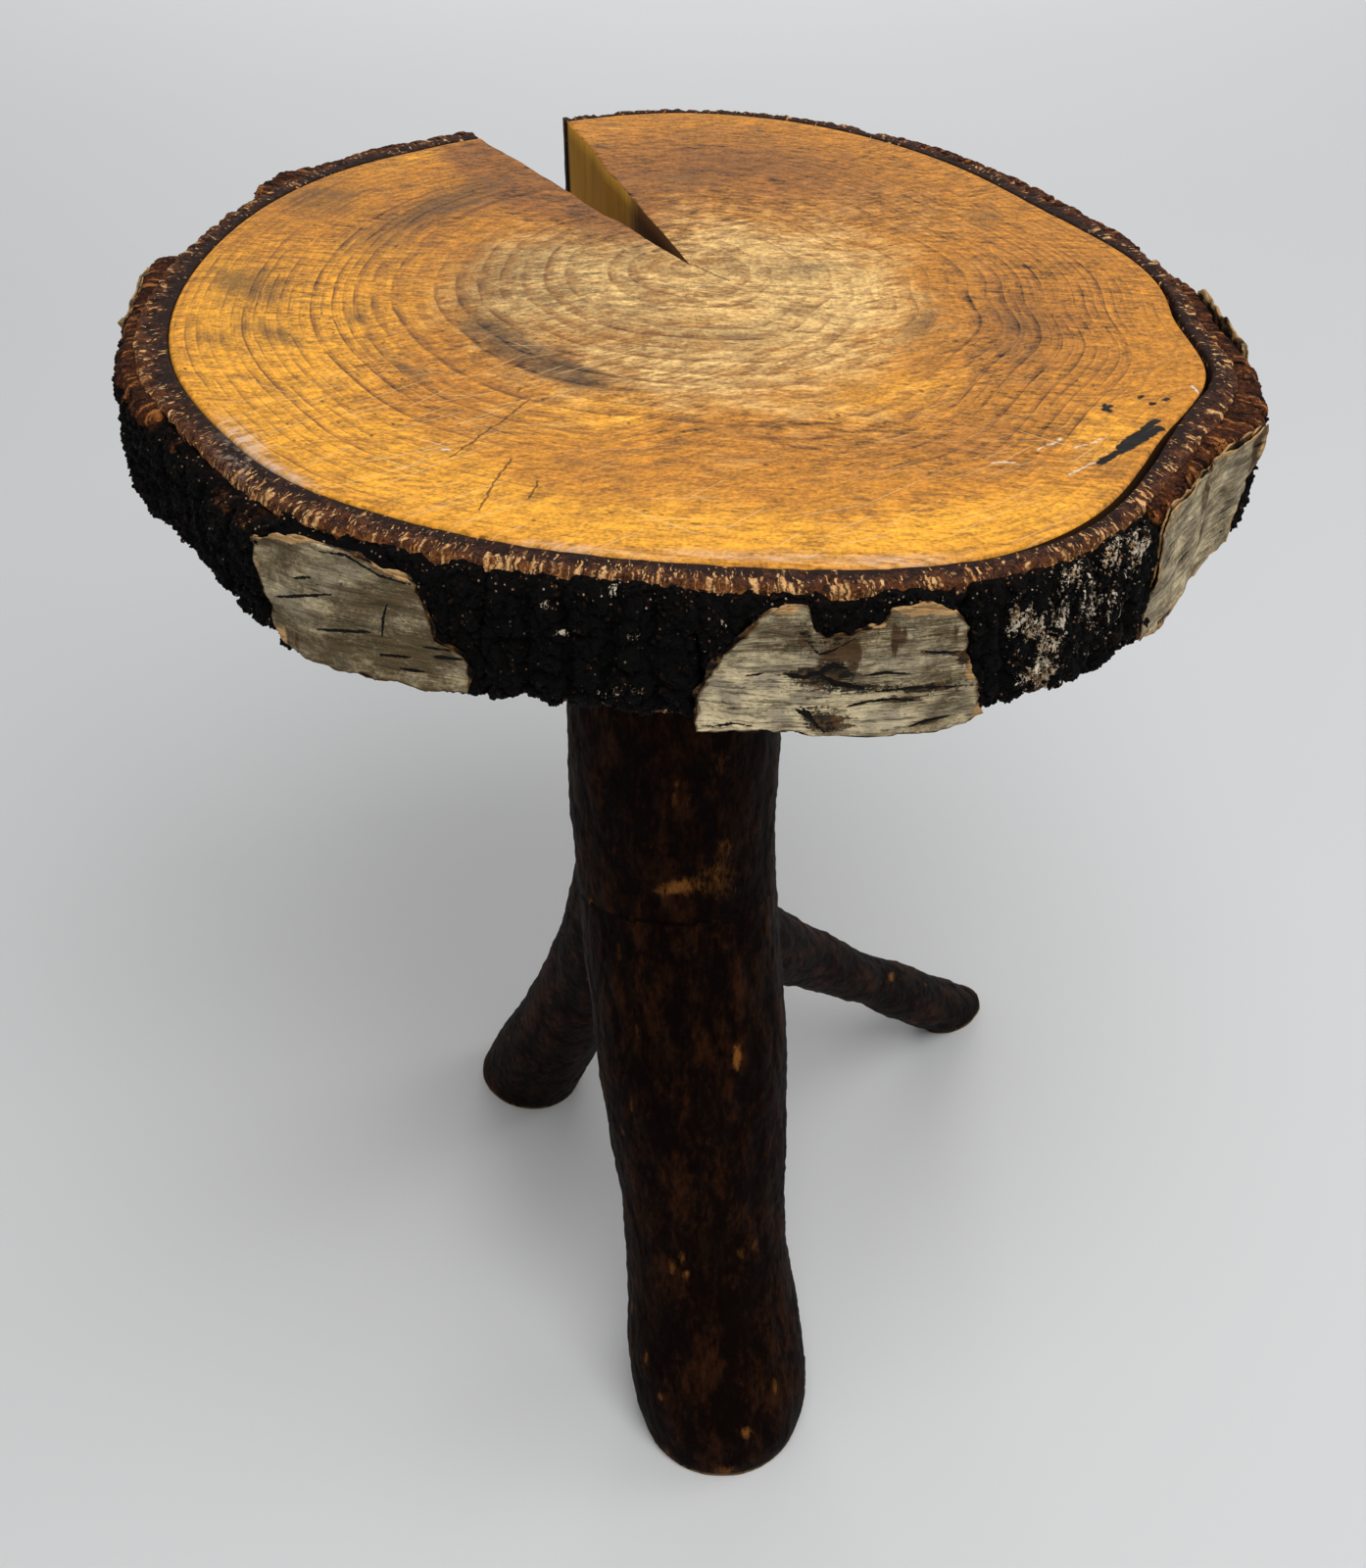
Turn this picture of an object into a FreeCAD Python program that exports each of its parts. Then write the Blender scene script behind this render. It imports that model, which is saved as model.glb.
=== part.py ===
import FreeCAD, Part
import math
import os
import Sketcher

# Rustic side table: a thick round slice of trunk with its bark on, carried by an upturned natural fork.
# Millimetres, +Z up, the floor at zero, the viewer's side at -Y.

SIZES = {
    # the whole table
    "table_height": 430.0,
    "slab_thickness": 45.0,
    # the round of the trunk, from the pith side outwards
    "rim_centre_x": -0.2,
    "rim_centre_y": -0.55,
    "wood_radius": 165.0,
    "inner_bark_width": 10.0,
    "cork_thickness": 7.0,
    "cork_shoulder": 4.5,
    "furrow_width": 5.0,
    "crack_width": 3.5,
    "white_bark_gap": 0.3,
    "white_bark_thickness": 1.5,
    # the drying check, from its tip at the pith out to the rim
    "check_tip_x": 4.0,
    "check_tip_y": 31.0,
    "check_length": 140.0,
    "check_mouth": 36.5,
    # the stem and its front leg
    "stem_top_x": -3.0,
    "stem_top_y": -4.0,
    "stem_radius": 37.5,
    "fork_x": -1.0,
    "fork_y": -38.0,
    "fork_height": 215.0,
    "fork_radius": 37.0,
    "front_leg_radius": 33.5,
    "front_foot_x": 17.0,
    "front_foot_y": -119.0,
    "front_foot_radius": 34.5,
    "front_sole_radius": 30.0,
    # the rear left leg
    "left_fork_height": 265.0,
    "left_collar_radius": 24.0,
    "left_leg_radius": 20.0,
    "left_leg_bow": 9.0,
    "left_foot_x": -71.5,
    "left_foot_y": 73.0,
    "left_foot_radius": 22.5,
    # the rear right leg
    "right_fork_height": 204.0,
    "right_collar_radius": 17.0,
    "right_leg_radius": 12.0,
    "right_leg_bow": 1.0,
    "right_foot_x": 133.0,
    "right_foot_y": 116.0,
    "right_foot_radius": 13.5,
    # the blind joint between stem and slab
    "centre_dowel_radius": 12.5,
    "centre_dowel_in_slab": 26.0,
    "centre_dowel_in_stem": 30.0,
    "side_dowel_radius": 5.0,
    "side_dowel_in_slab": 18.0,
    "side_dowel_in_stem": 22.0,
    "side_dowel_wall": 5.5,
    "dowel_clearance": 0.1,
    "dowel_end_gap": 0.5,
    # how far cutting shapes run past what they cut
    "cut_overrun": 40.0,
}

# Radii of the rim at even angles, anticlockwise from +X, as shares of the sizes that they follow.
WOOD_SHARES = (0.975, 0.96, 0.92, 0.94, 0.98, 1.02, 1.04, 1.02, 0.995, 1.02, 1.025, 1.01,
               1.0, 0.985, 0.96, 0.95, 0.925, 0.92, 0.935, 0.99, 1.055, 1.05, 1.01, 1.03)
INNER_BARK_SHARES = (0.9, 0.7, 0.8, 0.8, 0.6, 0.55, 0.4, 0.4, 0.8, 0.85, 0.85, 0.9,
                     1.0, 1.1, 0.9, 1.1, 1.2, 0.95, 0.95, 1.0, 0.85, 0.9, 1.1, 1.1)
CORK_SHARES = (0.75, 0.45, 0.7, 0.6, 0.4, 0.4, 0.4, 0.4, 0.65, 0.7, 0.8, 0.6,
               0.7, 1.05, 0.85, 1.4, 1.1, 0.9, 0.9, 0.8, 0.7, 0.85, 0.8, 1.0)
RIM_STEP = 360 / len(WOOD_SHARES)
WHITE_BARK_SHARES = (1.0,) * len(WOOD_SHARES)

WOOD_LAYERS = (("wood_radius", WOOD_SHARES),)
INNER_BARK_LAYERS = WOOD_LAYERS + (("inner_bark_width", INNER_BARK_SHARES),)
CORK_LAYERS = INNER_BARK_LAYERS + (("cork_thickness", CORK_SHARES),)
# Depths in the cork, as shares of its thickness: its worn head, the floors of its furrows and cracks.
WORN_SHARE = 0.6
FURROW_FLOOR_SHARE = 0.42
CRACK_FLOOR_SHARE = 0.65
WHITE_SEAT_LAYERS = CORK_LAYERS + (("white_bark_gap", WHITE_BARK_SHARES),)
WHITE_BARK_LAYERS = WHITE_SEAT_LAYERS + (("white_bark_thickness", WHITE_BARK_SHARES),)

# The check runs out from the pith in this direction, and trims the plate of bark beside it.
CHECK_DIRECTION = 117.6
CHECK_PLATE = "cork_plate_back_left"

# Each plate of outer bark: its angles round the rim, then its foot and head as shares of the slab's thickness.
CORK_PLATE_SHARES = (
    ("cork_plate_back_right", 17, 63, 0.05, 1.0),
    ("cork_plate_back", 68, 81, 0.05, 0.98),
    ("cork_plate_back_left", 112, 148, 0.04, 1.0),
    ("cork_plate_left", 166, 203, 0.05, 0.97),
    ("cork_plate_left_front", 203, 229, 0.12, 0.93),
    ("cork_plate_front_left", 229, 251, 0.02, 0.97),
    ("cork_plate_front", 251, 272, 0.02, 0.97),
    ("cork_plate_front_right", 272, 295, 0.0, 0.97),
    ("cork_plate_right_front", 295, 317, 0.05, 0.96),
    ("cork_plate_right", 317, 349, 0.1, 0.97),
    ("cork_plate_right_rear", 349, 369.5, 0.05, 0.98),
)
# Each upright furrow in a plate: its angles round the rim at the foot and at the head.
FURROW_SHARES = (
    ("cork_plate_back_right", 22.0, 23.5), ("cork_plate_back_right", 28.5, 27.0), ("cork_plate_back_right", 33.0, 34.5),
    ("cork_plate_back_right", 40.0, 38.5), ("cork_plate_back_right", 45.0, 46.0), ("cork_plate_back_right", 51.5, 50.0),
    ("cork_plate_back_right", 57.0, 58.5), ("cork_plate_back", 72.0, 73.0), ("cork_plate_back", 77.0, 76.0),
    ("cork_plate_back_left", 128.0, 127.0), ("cork_plate_back_left", 133.0, 134.5), ("cork_plate_back_left", 139.5, 138.0),
    ("cork_plate_back_left", 143.5, 144.5), ("cork_plate_left", 185.0, 186.0), ("cork_plate_left", 190.0, 188.5),
    ("cork_plate_left", 194.0, 195.5), ("cork_plate_left", 199.0, 198.0), ("cork_plate_left_front", 207.5, 206.5),
    ("cork_plate_left_front", 211.5, 213.0), ("cork_plate_left_front", 217.0, 216.0), ("cork_plate_left_front", 222.0, 223.5),
    ("cork_plate_front", 254.5, 255.5), ("cork_plate_front", 259.5, 258.5), ("cork_plate_front", 263.0, 264.0),
    ("cork_plate_front", 268.0, 267.0), ("cork_plate_right_front", 299.5, 298.5), ("cork_plate_right_front", 303.0, 304.0),
    ("cork_plate_right_front", 308.0, 307.0), ("cork_plate_right_front", 312.0, 313.0), ("cork_plate_right", 340.0, 339.0),
    ("cork_plate_right", 344.5, 345.5),
)
# Each level crack in a plate: its angles round the rim, and its height as a share of the slab's thickness.
CRACK_SHARES = (
    ("cork_plate_back_right", 17.0, 22.7, 0.5), ("cork_plate_back_right", 22.7, 27.7, 0.34),
    ("cork_plate_back_right", 27.7, 33.7, 0.62), ("cork_plate_back_right", 33.7, 39.2, 0.4),
    ("cork_plate_back_right", 39.2, 45.5, 0.7), ("cork_plate_back_right", 45.5, 50.7, 0.3),
    ("cork_plate_back_right", 50.7, 57.7, 0.55), ("cork_plate_back_right", 57.7, 63.0, 0.38),
    ("cork_plate_back", 68.0, 72.5, 0.45), ("cork_plate_back", 72.5, 76.5, 0.66), ("cork_plate_back", 76.5, 81.0, 0.36),
    ("cork_plate_back_left", 127.5, 133.7, 0.42), ("cork_plate_back_left", 133.7, 138.7, 0.64),
    ("cork_plate_back_left", 138.7, 144.0, 0.36), ("cork_plate_left", 185.5, 189.2, 0.4),
    ("cork_plate_left", 189.2, 194.7, 0.66), ("cork_plate_left", 194.7, 198.5, 0.36), ("cork_plate_left", 198.5, 203.0, 0.58),
    ("cork_plate_left_front", 203.0, 207.0, 0.44), ("cork_plate_left_front", 207.0, 212.2, 0.66),
    ("cork_plate_left_front", 212.2, 216.5, 0.36), ("cork_plate_left_front", 216.5, 222.7, 0.56),
    ("cork_plate_left_front", 222.7, 229.0, 0.4), ("cork_plate_front", 251.0, 255.0, 0.5),
    ("cork_plate_front", 255.0, 259.0, 0.3), ("cork_plate_front", 259.0, 263.5, 0.62), ("cork_plate_front", 263.5, 267.5, 0.36),
    ("cork_plate_front", 267.5, 272.0, 0.56), ("cork_plate_right_front", 299.0, 303.5, 0.38),
    ("cork_plate_right_front", 303.5, 307.5, 0.64), ("cork_plate_right_front", 307.5, 312.5, 0.34),
    ("cork_plate_right", 339.5, 345.0, 0.5),
)
WHITE_BARK_SHEET_SHARES = (
    ("white_bark_left", 168, 181, 0.1, 0.97),
    ("white_bark_front_left", 229.5, 250.5, 0.02, 0.97),
    ("white_bark_front_right", 272.5, 294.5, 0.0, 0.97),
    ("white_bark_right", 317.5, 336, 0.12, 0.97),
    ("white_bark_right_rear", 352, 365, 0.08, 0.98),
)

# Sections of the stem: share of the run from foot to fork, and of the run from fork to top, with their radii.
FRONT_LEG_SHARES = ((0.0, "front_sole_radius"), (0.06, "front_foot_radius"), (0.28, "front_leg_radius"),
                    (0.52, "front_leg_radius"), (0.76, "fork_radius"))
STEM_SHARES = ((0.0, "fork_radius"), (0.33, "stem_radius"), (0.67, "stem_radius"), (1.0, "stem_radius"))
# Sections of a rear leg from the fork to the floor: share of the run, share of the bow, and the radius.
REAR_LEG_SHARES = ((0.0, 0.0, "collar"), (0.22, 0.7, "collar"), (0.5, 1.0, "leg"), (0.75, 0.6, "leg"),
                   (1.0, 0.0, "foot"))

UP = FreeCAD.Vector(0, 0, 1)
UNDERSIDE = "Sizes.table_height - Sizes.slab_thickness"

doc = FreeCAD.newDocument("TrunkTable")
sheet = doc.addObject("Spreadsheet::Sheet", "Sizes")


def fill_sheet():
    """Write every driving size into the sheet, with its name beside it."""
    for row, (name, value) in enumerate(SIZES.items(), start=1):
        sheet.set(f"A{row}", name)
        sheet.set(f"B{row}", str(value))
        sheet.setAlias(f"B{row}", name)
    doc.recompute()


def size(name):
    """A driving size as the sheet holds it."""
    return float(getattr(sheet, name))


def underside():
    """Height of the slab's lower face."""
    return size("table_height") - size("slab_thickness")


def new_body(name):
    """An empty body that is exported under its name."""
    body = doc.addObject("PartDesign::Body", name)
    body.Label = name
    return body


def level_sketch(body, name, height):
    """A sketch on a level plane, at the height that the expression gives."""
    sketch = body.newObject("Sketcher::SketchObject", name)
    ground = next(plane for plane in body.Origin.OriginFeatures if plane.Role == "XY_Plane")
    sketch.AttachmentSupport = (ground, [""])
    sketch.MapMode = "FlatFace"
    sketch.setExpression("AttachmentOffset.Base.z", height)
    return sketch


def circle_sketch(body, name, centre, radius):
    """A level circle: three expressions for its centre and one for its radius."""
    sketch = level_sketch(body, name, centre[2])
    sketch.setExpression("AttachmentOffset.Base.x", centre[0])
    sketch.setExpression("AttachmentOffset.Base.y", centre[1])
    unit_circle = Part.Circle(FreeCAD.Vector(0, 0, 0), UP, 1)
    sketch.addGeometry(unit_circle)
    sketch.addConstraint(Sketcher.Constraint("Coincident", 0, 3, -1, 1))
    rule = sketch.addConstraint(Sketcher.Constraint("Radius", 0, 1))
    sketch.setExpression(f"Constraints[{rule}]", radius)
    return sketch


def pad(body, sketch, length):
    """Raise a sketch by the length that the expression gives."""
    feature = body.newObject("PartDesign::Pad", f"{sketch.Name}_pad")
    feature.Profile = sketch
    feature.setExpression("Length", length)
    doc.recompute()
    return feature


def pocket(body, sketch, length, upwards):
    """Cut a sketch into the body, and make sure that it takes wood away."""
    before = body.Shape.Volume
    feature = body.newObject("PartDesign::Pocket", f"{sketch.Name}_pocket")
    feature.Profile = sketch
    feature.Reversed = upwards
    feature.setExpression("Length", length)
    doc.recompute()
    if not feature.Shape.Volume < before:
        raise ValueError(f"{feature.Name} cuts nothing")
    return feature


def rim_curve(layers):
    """Closed smooth curve round the trunk, outside the layers given; its parameter counts rim steps."""
    points = []
    for index in range(len(WOOD_SHARES)):
        radius = sum(size(name) * shares[index] for name, shares in layers)
        angle = math.radians(index * RIM_STEP)
        points.append(FreeCAD.Vector(size("rim_centre_x") + radius * math.cos(angle),
                                     size("rim_centre_y") + radius * math.sin(angle), 0))
    curve = Part.BSplineCurve()
    curve.interpolate(Points=points, PeriodicFlag=True, Parameters=list(range(len(points) + 1)))
    return curve


def cork_layers(share):
    """Layers of the rim out to a share of the cork's thickness."""
    return INNER_BARK_LAYERS + (("cork_thickness", tuple(share * local for local in CORK_SHARES)),)


def rim_stretch(layers, start, end):
    """The stretch of a rim curve between two angles in degrees."""
    curve = rim_curve(layers)
    curve.segment(start / RIM_STEP, end / RIM_STEP)
    return curve


def cut_check(body):
    """Cut the open drying check, a wedge from the pith out past the rim, through a body."""
    tip = FreeCAD.Vector(size("check_tip_x"), size("check_tip_y"), 0)
    half_angle = math.asin(size("check_mouth") / 2 / size("check_length"))
    reach = size("check_length") + size("wood_radius")
    corners = [tip]
    for side in (-1, 1):
        angle = math.radians(CHECK_DIRECTION) + side * half_angle
        corners.append(tip + FreeCAD.Vector(math.cos(angle), math.sin(angle), 0) * reach)
    sketch = level_sketch(body, f"{body.Name}_check", "Sizes.table_height")
    for index, corner in enumerate(corners):
        sketch.addGeometry(Part.LineSegment(corner, corners[(index + 1) % len(corners)]))
    pocket(body, sketch, "Sizes.slab_thickness + Sizes.cut_overrun", upwards=False)


def side_dowel_centres():
    """Expressions for the places of the two side dowels, a wall of wood left and right of the centre one."""
    offset = "(Sizes.centre_dowel_radius + Sizes.side_dowel_wall + Sizes.side_dowel_radius)"
    return [(f"Sizes.stem_top_x {sign} {offset}", "Sizes.stem_top_y") for sign in "-+"]


def bore_dowel_holes(body, into, upwards):
    """Bore the blind holes for the three dowels at the joint face, into the slab or into the stem."""
    places = [("centre", ("Sizes.stem_top_x", "Sizes.stem_top_y"))]
    places += [("side", centre) for centre in side_dowel_centres()]
    for index, (kind, centre) in enumerate(places):
        radius = f"Sizes.{kind}_dowel_radius + Sizes.dowel_clearance"
        sketch = circle_sketch(body, f"{body.Name}_bore{index}", (*centre, UNDERSIDE), radius)
        pocket(body, sketch, f"Sizes.{kind}_dowel_in_{into} + Sizes.dowel_end_gap", upwards)


def make_slab():
    """The slice of trunk: a pad of the wood's outline with the check and the dowel holes."""
    body = new_body("top_slab")
    sketch = level_sketch(body, "slab_outline", UNDERSIDE)
    sketch.addGeometry(rim_curve(WOOD_LAYERS))
    pad(body, sketch, "Sizes.slab_thickness")
    cut_check(body)
    bore_dowel_holes(body, "slab", upwards=True)
    return body


def make_inner_bark():
    """The band of inner bark round the wood, open at the check."""
    body = new_body("inner_bark_ring")
    sketch = level_sketch(body, "inner_bark_outline", UNDERSIDE)
    sketch.addGeometry(rim_curve(INNER_BARK_LAYERS))
    sketch.addGeometry(rim_curve(WOOD_LAYERS))
    pad(body, sketch, "Sizes.slab_thickness")
    cut_check(body)
    return body


def bark_outline(body, layers, angles, height):
    """Level outline of a piece of bark between an inner and an outer layer, over its stretch of the rim."""
    inner, outer = (rim_stretch(layer, *angles) for layer in layers)
    sketch = level_sketch(body, f"{body.Name}_outline{len(body.Group)}", height)
    for curve in (inner, outer, Part.LineSegment(inner.StartPoint, outer.StartPoint),
                  Part.LineSegment(inner.EndPoint, outer.EndPoint)):
        sketch.addGeometry(curve)
    return sketch


def height_in_slab(share):
    """Expression for a height that is a share of the way up the slab's edge."""
    return f"{UNDERSIDE} + {share} * Sizes.slab_thickness"


def make_white_bark(name, place):
    """A sheet of pale papery bark, a hair off the outside of its cork plate."""
    start, end, foot_share, head_share = place
    body = new_body(name)
    layers = (WHITE_SEAT_LAYERS, WHITE_BARK_LAYERS)
    sketch = bark_outline(body, layers, (start, end), height_in_slab(foot_share))
    pad(body, sketch, f"{head_share - foot_share} * Sizes.slab_thickness - Sizes.cork_shoulder")
    return body


def cut_loft(body, sections):
    """Take the ruled loft through some sections out of a body, and make sure that it cuts."""
    before = body.Shape.Volume
    doc.recompute()
    feature = body.newObject("PartDesign::SubtractiveLoft", f"{sections[0].Name}_cut")
    feature.Profile = sections[0]
    feature.Sections = sections[1:]
    feature.Ruled = True
    doc.recompute()
    if not feature.Shape.Volume < before:
        raise ValueError(f"{feature.Name} cuts nothing")


def cut_furrow(body, foot_angle, head_angle):
    """Cut an upright furrow into a cork plate: a slanting notch from below its foot to above its head."""
    floor, face = rim_curve(cork_layers(FURROW_FLOOR_SHARE)), rim_curve(CORK_LAYERS)
    sections = []
    for angle, height in ((foot_angle, f"{UNDERSIDE} - Sizes.furrow_width"),
                          (head_angle, "Sizes.table_height + Sizes.furrow_width")):
        deep, shallow = floor.value(angle / RIM_STEP), face.value(angle / RIM_STEP)
        out = shallow - deep
        side = UP.cross(out).normalize() * (size("furrow_width") / 2)
        corners = [deep, deep + (out + side) * 2, deep + (out - side) * 2]
        sketch = level_sketch(body, f"{body.Name}_furrow{len(body.Group)}", height)
        for index, corner in enumerate(corners):
            sketch.addGeometry(Part.LineSegment(corner, corners[(index + 1) % len(corners)]))
        sections.append(sketch)
    cut_loft(body, sections)


def cut_crack(body, start, end, share):
    """Cut a level crack into a cork plate: a notch along its face that follows the rim."""
    sections = []
    for floor_share, offset in ((2 - CRACK_FLOOR_SHARE, -1), (CRACK_FLOOR_SHARE, 0), (2 - CRACK_FLOOR_SHARE, 1)):
        height = f"{height_in_slab(share)} + {offset} * Sizes.crack_width"
        layers = (cork_layers(floor_share), cork_layers(2))
        sections.append(bark_outline(body, layers, (start, end), height))
    cut_loft(body, sections)


def make_cork_plate(name, place):
    """A plate of black corky bark: upright up to its shoulder, then worn back towards its head, furrowed and cracked."""
    start, end, foot_share, head_share = place
    body = new_body(name)
    head = height_in_slab(head_share)
    layers = (INNER_BARK_LAYERS, CORK_LAYERS)
    outlines = [bark_outline(body, layers, (start, end), height_in_slab(foot_share)),
                bark_outline(body, layers, (start, end), f"{head} - Sizes.cork_shoulder"),
                bark_outline(body, (INNER_BARK_LAYERS, cork_layers(WORN_SHARE)), (start, end), head)]
    doc.recompute()
    loft = body.newObject("PartDesign::AdditiveLoft", f"{name}_loft")
    loft.Profile = outlines[0]
    loft.Sections = outlines[1:]
    loft.Ruled = True
    doc.recompute()
    if name == CHECK_PLATE:
        cut_check(body)
    for plate, *angles in FURROW_SHARES:
        if plate == name:
            cut_furrow(body, *angles)
    for plate, *place in CRACK_SHARES:
        if plate == name:
            cut_crack(body, *place)
    return body


def between(first, second, share):
    """Expression for a place between two named sizes or expressions."""
    return f"({first}) + {share} * (({second}) - ({first}))"


def stem_section(body, low, high, share, radius):
    """A level section of the stem on the run between two of its named points."""
    centre = [between(start, end, share) for start, end in zip(low, high)]
    return circle_sketch(body, f"stem_section{len(body.Group)}", centre, f"Sizes.{radius}")


def make_stem():
    """The trunk of the fork with its front leg: a loft through level rounds, drawn in at the sole."""
    body = new_body("main_stem")
    foot = ("Sizes.front_foot_x", "Sizes.front_foot_y", "0")
    fork = ("Sizes.fork_x", "Sizes.fork_y", "Sizes.fork_height")
    top = ("Sizes.stem_top_x", "Sizes.stem_top_y", UNDERSIDE)
    sections = [stem_section(body, foot, fork, share, radius) for share, radius in FRONT_LEG_SHARES]
    sections += [stem_section(body, fork, top, share, radius) for share, radius in STEM_SHARES]
    doc.recompute()
    loft = body.newObject("PartDesign::AdditiveLoft", "stem_loft")
    loft.Profile = sections[0]
    loft.Sections = sections[1:]
    doc.recompute()
    bore_dowel_holes(body, "stem", upwards=False)
    return body


def stem_axis(height):
    """The point of the stem's middle line at a height above the fork or below it."""
    foot = FreeCAD.Vector(size("front_foot_x"), size("front_foot_y"), 0)
    fork = FreeCAD.Vector(size("fork_x"), size("fork_y"), size("fork_height"))
    top = FreeCAD.Vector(size("stem_top_x"), size("stem_top_y"), underside())
    low, high = (foot, fork) if height < fork.z else (fork, top)
    return low + (high - low) * ((height - low.z) / (high.z - low.z))


def make_rear_leg(side, neighbours):
    """A rear limb of the fork: a loft down a slanting line, cut where it meets its neighbours."""
    fork = stem_axis(size(f"{side}_fork_height"))
    foot = FreeCAD.Vector(size(f"{side}_foot_x"), size(f"{side}_foot_y"), 0)
    run = foot - fork
    inwards = FreeCAD.Vector(-run.x, -run.y, 0).normalize()
    bow = inwards * size(f"{side}_leg_bow")
    past_floor_share = 1 + size("cut_overrun") / run.Length
    sections = []
    for share, bow_share, radius in REAR_LEG_SHARES + ((past_floor_share, 0.0, "foot"),):
        circle = doc.addObject("Part::Circle", f"{side}_leg_section{len(sections)}")
        circle.setExpression("Radius", f"Sizes.{side}_{radius}_radius")
        circle.Placement = FreeCAD.Placement(fork + run * share + bow * bow_share,
                                             FreeCAD.Rotation(UP, run))
        sections.append(circle)
    loft = doc.addObject("Part::Loft", f"{side}_leg_loft")
    loft.Sections = sections
    loft.Solid = True
    leg = loft
    for neighbour in neighbours:
        cut = doc.addObject("Part::Cut", f"{side}_leg_off_{neighbour.Name}")
        cut.Base = leg
        cut.Tool = neighbour
        leg = cut
    leg.Label = f"rear_{side}_leg"
    return leg


def make_floor_block():
    """Block below the floor that cuts the rear feet flat; it is not exported."""
    block = doc.addObject("Part::Box", "below_floor")
    reach = "2 * (Sizes.wood_radius + Sizes.cut_overrun)"
    depth = "2 * Sizes.cut_overrun"
    block.setExpression("Length", reach)
    block.setExpression("Width", reach)
    block.setExpression("Height", depth)
    block.setExpression("Placement.Base.x", f"-({reach}) / 2")
    block.setExpression("Placement.Base.y", f"-({reach}) / 2")
    block.setExpression("Placement.Base.z", f"-({depth})")
    return block


def make_dowel(name, kind, centre):
    """A blind dowel across the joint between slab and stem."""
    dowel = doc.addObject("Part::Cylinder", name)
    dowel.setExpression("Radius", f"Sizes.{kind}_dowel_radius")
    dowel.setExpression("Height", f"Sizes.{kind}_dowel_in_slab + Sizes.{kind}_dowel_in_stem")
    dowel.setExpression("Placement.Base.x", centre[0])
    dowel.setExpression("Placement.Base.y", centre[1])
    dowel.setExpression("Placement.Base.z", f"{UNDERSIDE} - Sizes.{kind}_dowel_in_stem")
    dowel.Label = name
    return dowel


def make_side_dowels():
    """The two side dowels, as one group of separate solids."""
    group = doc.addObject("Part::Compound", "side_dowels")
    group.Links = [make_dowel(f"side_dowel{index}", "side", centre)
                   for index, centre in enumerate(side_dowel_centres())]
    group.Label = "side_dowels"
    return group


def export(pieces):
    """Check every object of the document, then write each piece to its own file."""
    doc.recompute()
    for thing in doc.Objects:
        if "Invalid" in thing.State or "Error" in thing.State:
            raise ValueError(f"{thing.Name} failed: {thing.State}")
    for piece in pieces:
        if piece.Shape.isNull() or not piece.Shape.isValid():
            raise ValueError(f"{piece.Label} has no valid shape")
    os.makedirs("parts", exist_ok=True)
    for piece in pieces:
        piece.Shape.exportStep(f"parts/{piece.Label}.step")
        print(piece.Label, len(piece.Shape.Solids), round(piece.Shape.Volume))


def main():
    """Build the table from the top down and write its pieces."""
    fill_sheet()
    pieces = [make_slab(), make_inner_bark()]
    pieces += [make_cork_plate(name, place) for name, *place in CORK_PLATE_SHARES]
    pieces += [make_white_bark(name, place) for name, *place in WHITE_BARK_SHEET_SHARES]
    stem = make_stem()
    floor = make_floor_block()
    left_leg = make_rear_leg("left", [stem, floor])
    pieces += [stem, left_leg, make_rear_leg("right", [stem, left_leg, floor])]
    pieces.append(make_dowel("centre_dowel", "centre", ("Sizes.stem_top_x", "Sizes.stem_top_y")))
    pieces.append(make_side_dowels())
    export(pieces)


main()
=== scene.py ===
import functools
import math

import bmesh
import bpy
import numpy as np
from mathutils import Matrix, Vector
from mathutils.bvhtree import BVHTree


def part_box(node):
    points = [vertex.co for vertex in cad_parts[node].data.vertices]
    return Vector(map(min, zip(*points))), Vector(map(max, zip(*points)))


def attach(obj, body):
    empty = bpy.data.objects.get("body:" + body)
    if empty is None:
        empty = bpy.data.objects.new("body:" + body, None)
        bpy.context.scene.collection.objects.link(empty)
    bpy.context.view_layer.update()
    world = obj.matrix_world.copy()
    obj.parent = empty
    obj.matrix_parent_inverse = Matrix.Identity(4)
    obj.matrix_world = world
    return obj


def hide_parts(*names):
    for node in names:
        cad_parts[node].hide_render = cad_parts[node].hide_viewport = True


bl_info = {
    "name": "Trunk Slice Table",
    "version": (1, 0, 0),
    "blender": (4, 5, 0),
    "location": "View3D > Sidebar > Trunk Table",
    "description": "Dresses the trunk slice side table: ringed wood, torn bark, limbs and a plain studio",
    "category": "Object",
}

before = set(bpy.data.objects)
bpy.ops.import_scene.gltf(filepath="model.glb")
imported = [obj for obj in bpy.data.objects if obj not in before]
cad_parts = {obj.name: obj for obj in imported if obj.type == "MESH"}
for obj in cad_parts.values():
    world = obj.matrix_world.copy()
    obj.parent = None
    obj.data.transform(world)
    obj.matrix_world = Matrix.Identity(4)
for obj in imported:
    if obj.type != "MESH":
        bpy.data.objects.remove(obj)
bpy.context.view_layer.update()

# The photo's viewpoint, as fitted to the round of the top and to the feet.
EYE = np.array([0.00136, -0.6506, 0.74185])
EYE_PITCH = math.radians(38.1)
FOCAL_PX = 2200
PHOTO = (1394, 1600)
SENSOR_MM = 36

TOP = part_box("top_slab")[1].z
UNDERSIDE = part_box("top_slab")[0].z

# Radii in metres at which angles round the bark, and round the ring of inner bark, are measured as lengths.
RIM_REACH = 0.18
RING_REACH = 0.17
# Degrees before the check at which lengths round the bark begin.
SEAM_LEAD = 20


# Small maths for shapes


def ease(value, low, high):
    """Smooth step from 0 at low to 1 at high."""
    t = np.clip((value - low) / (high - low), 0, 1)
    return t * t * (3 - 2 * t)


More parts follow.
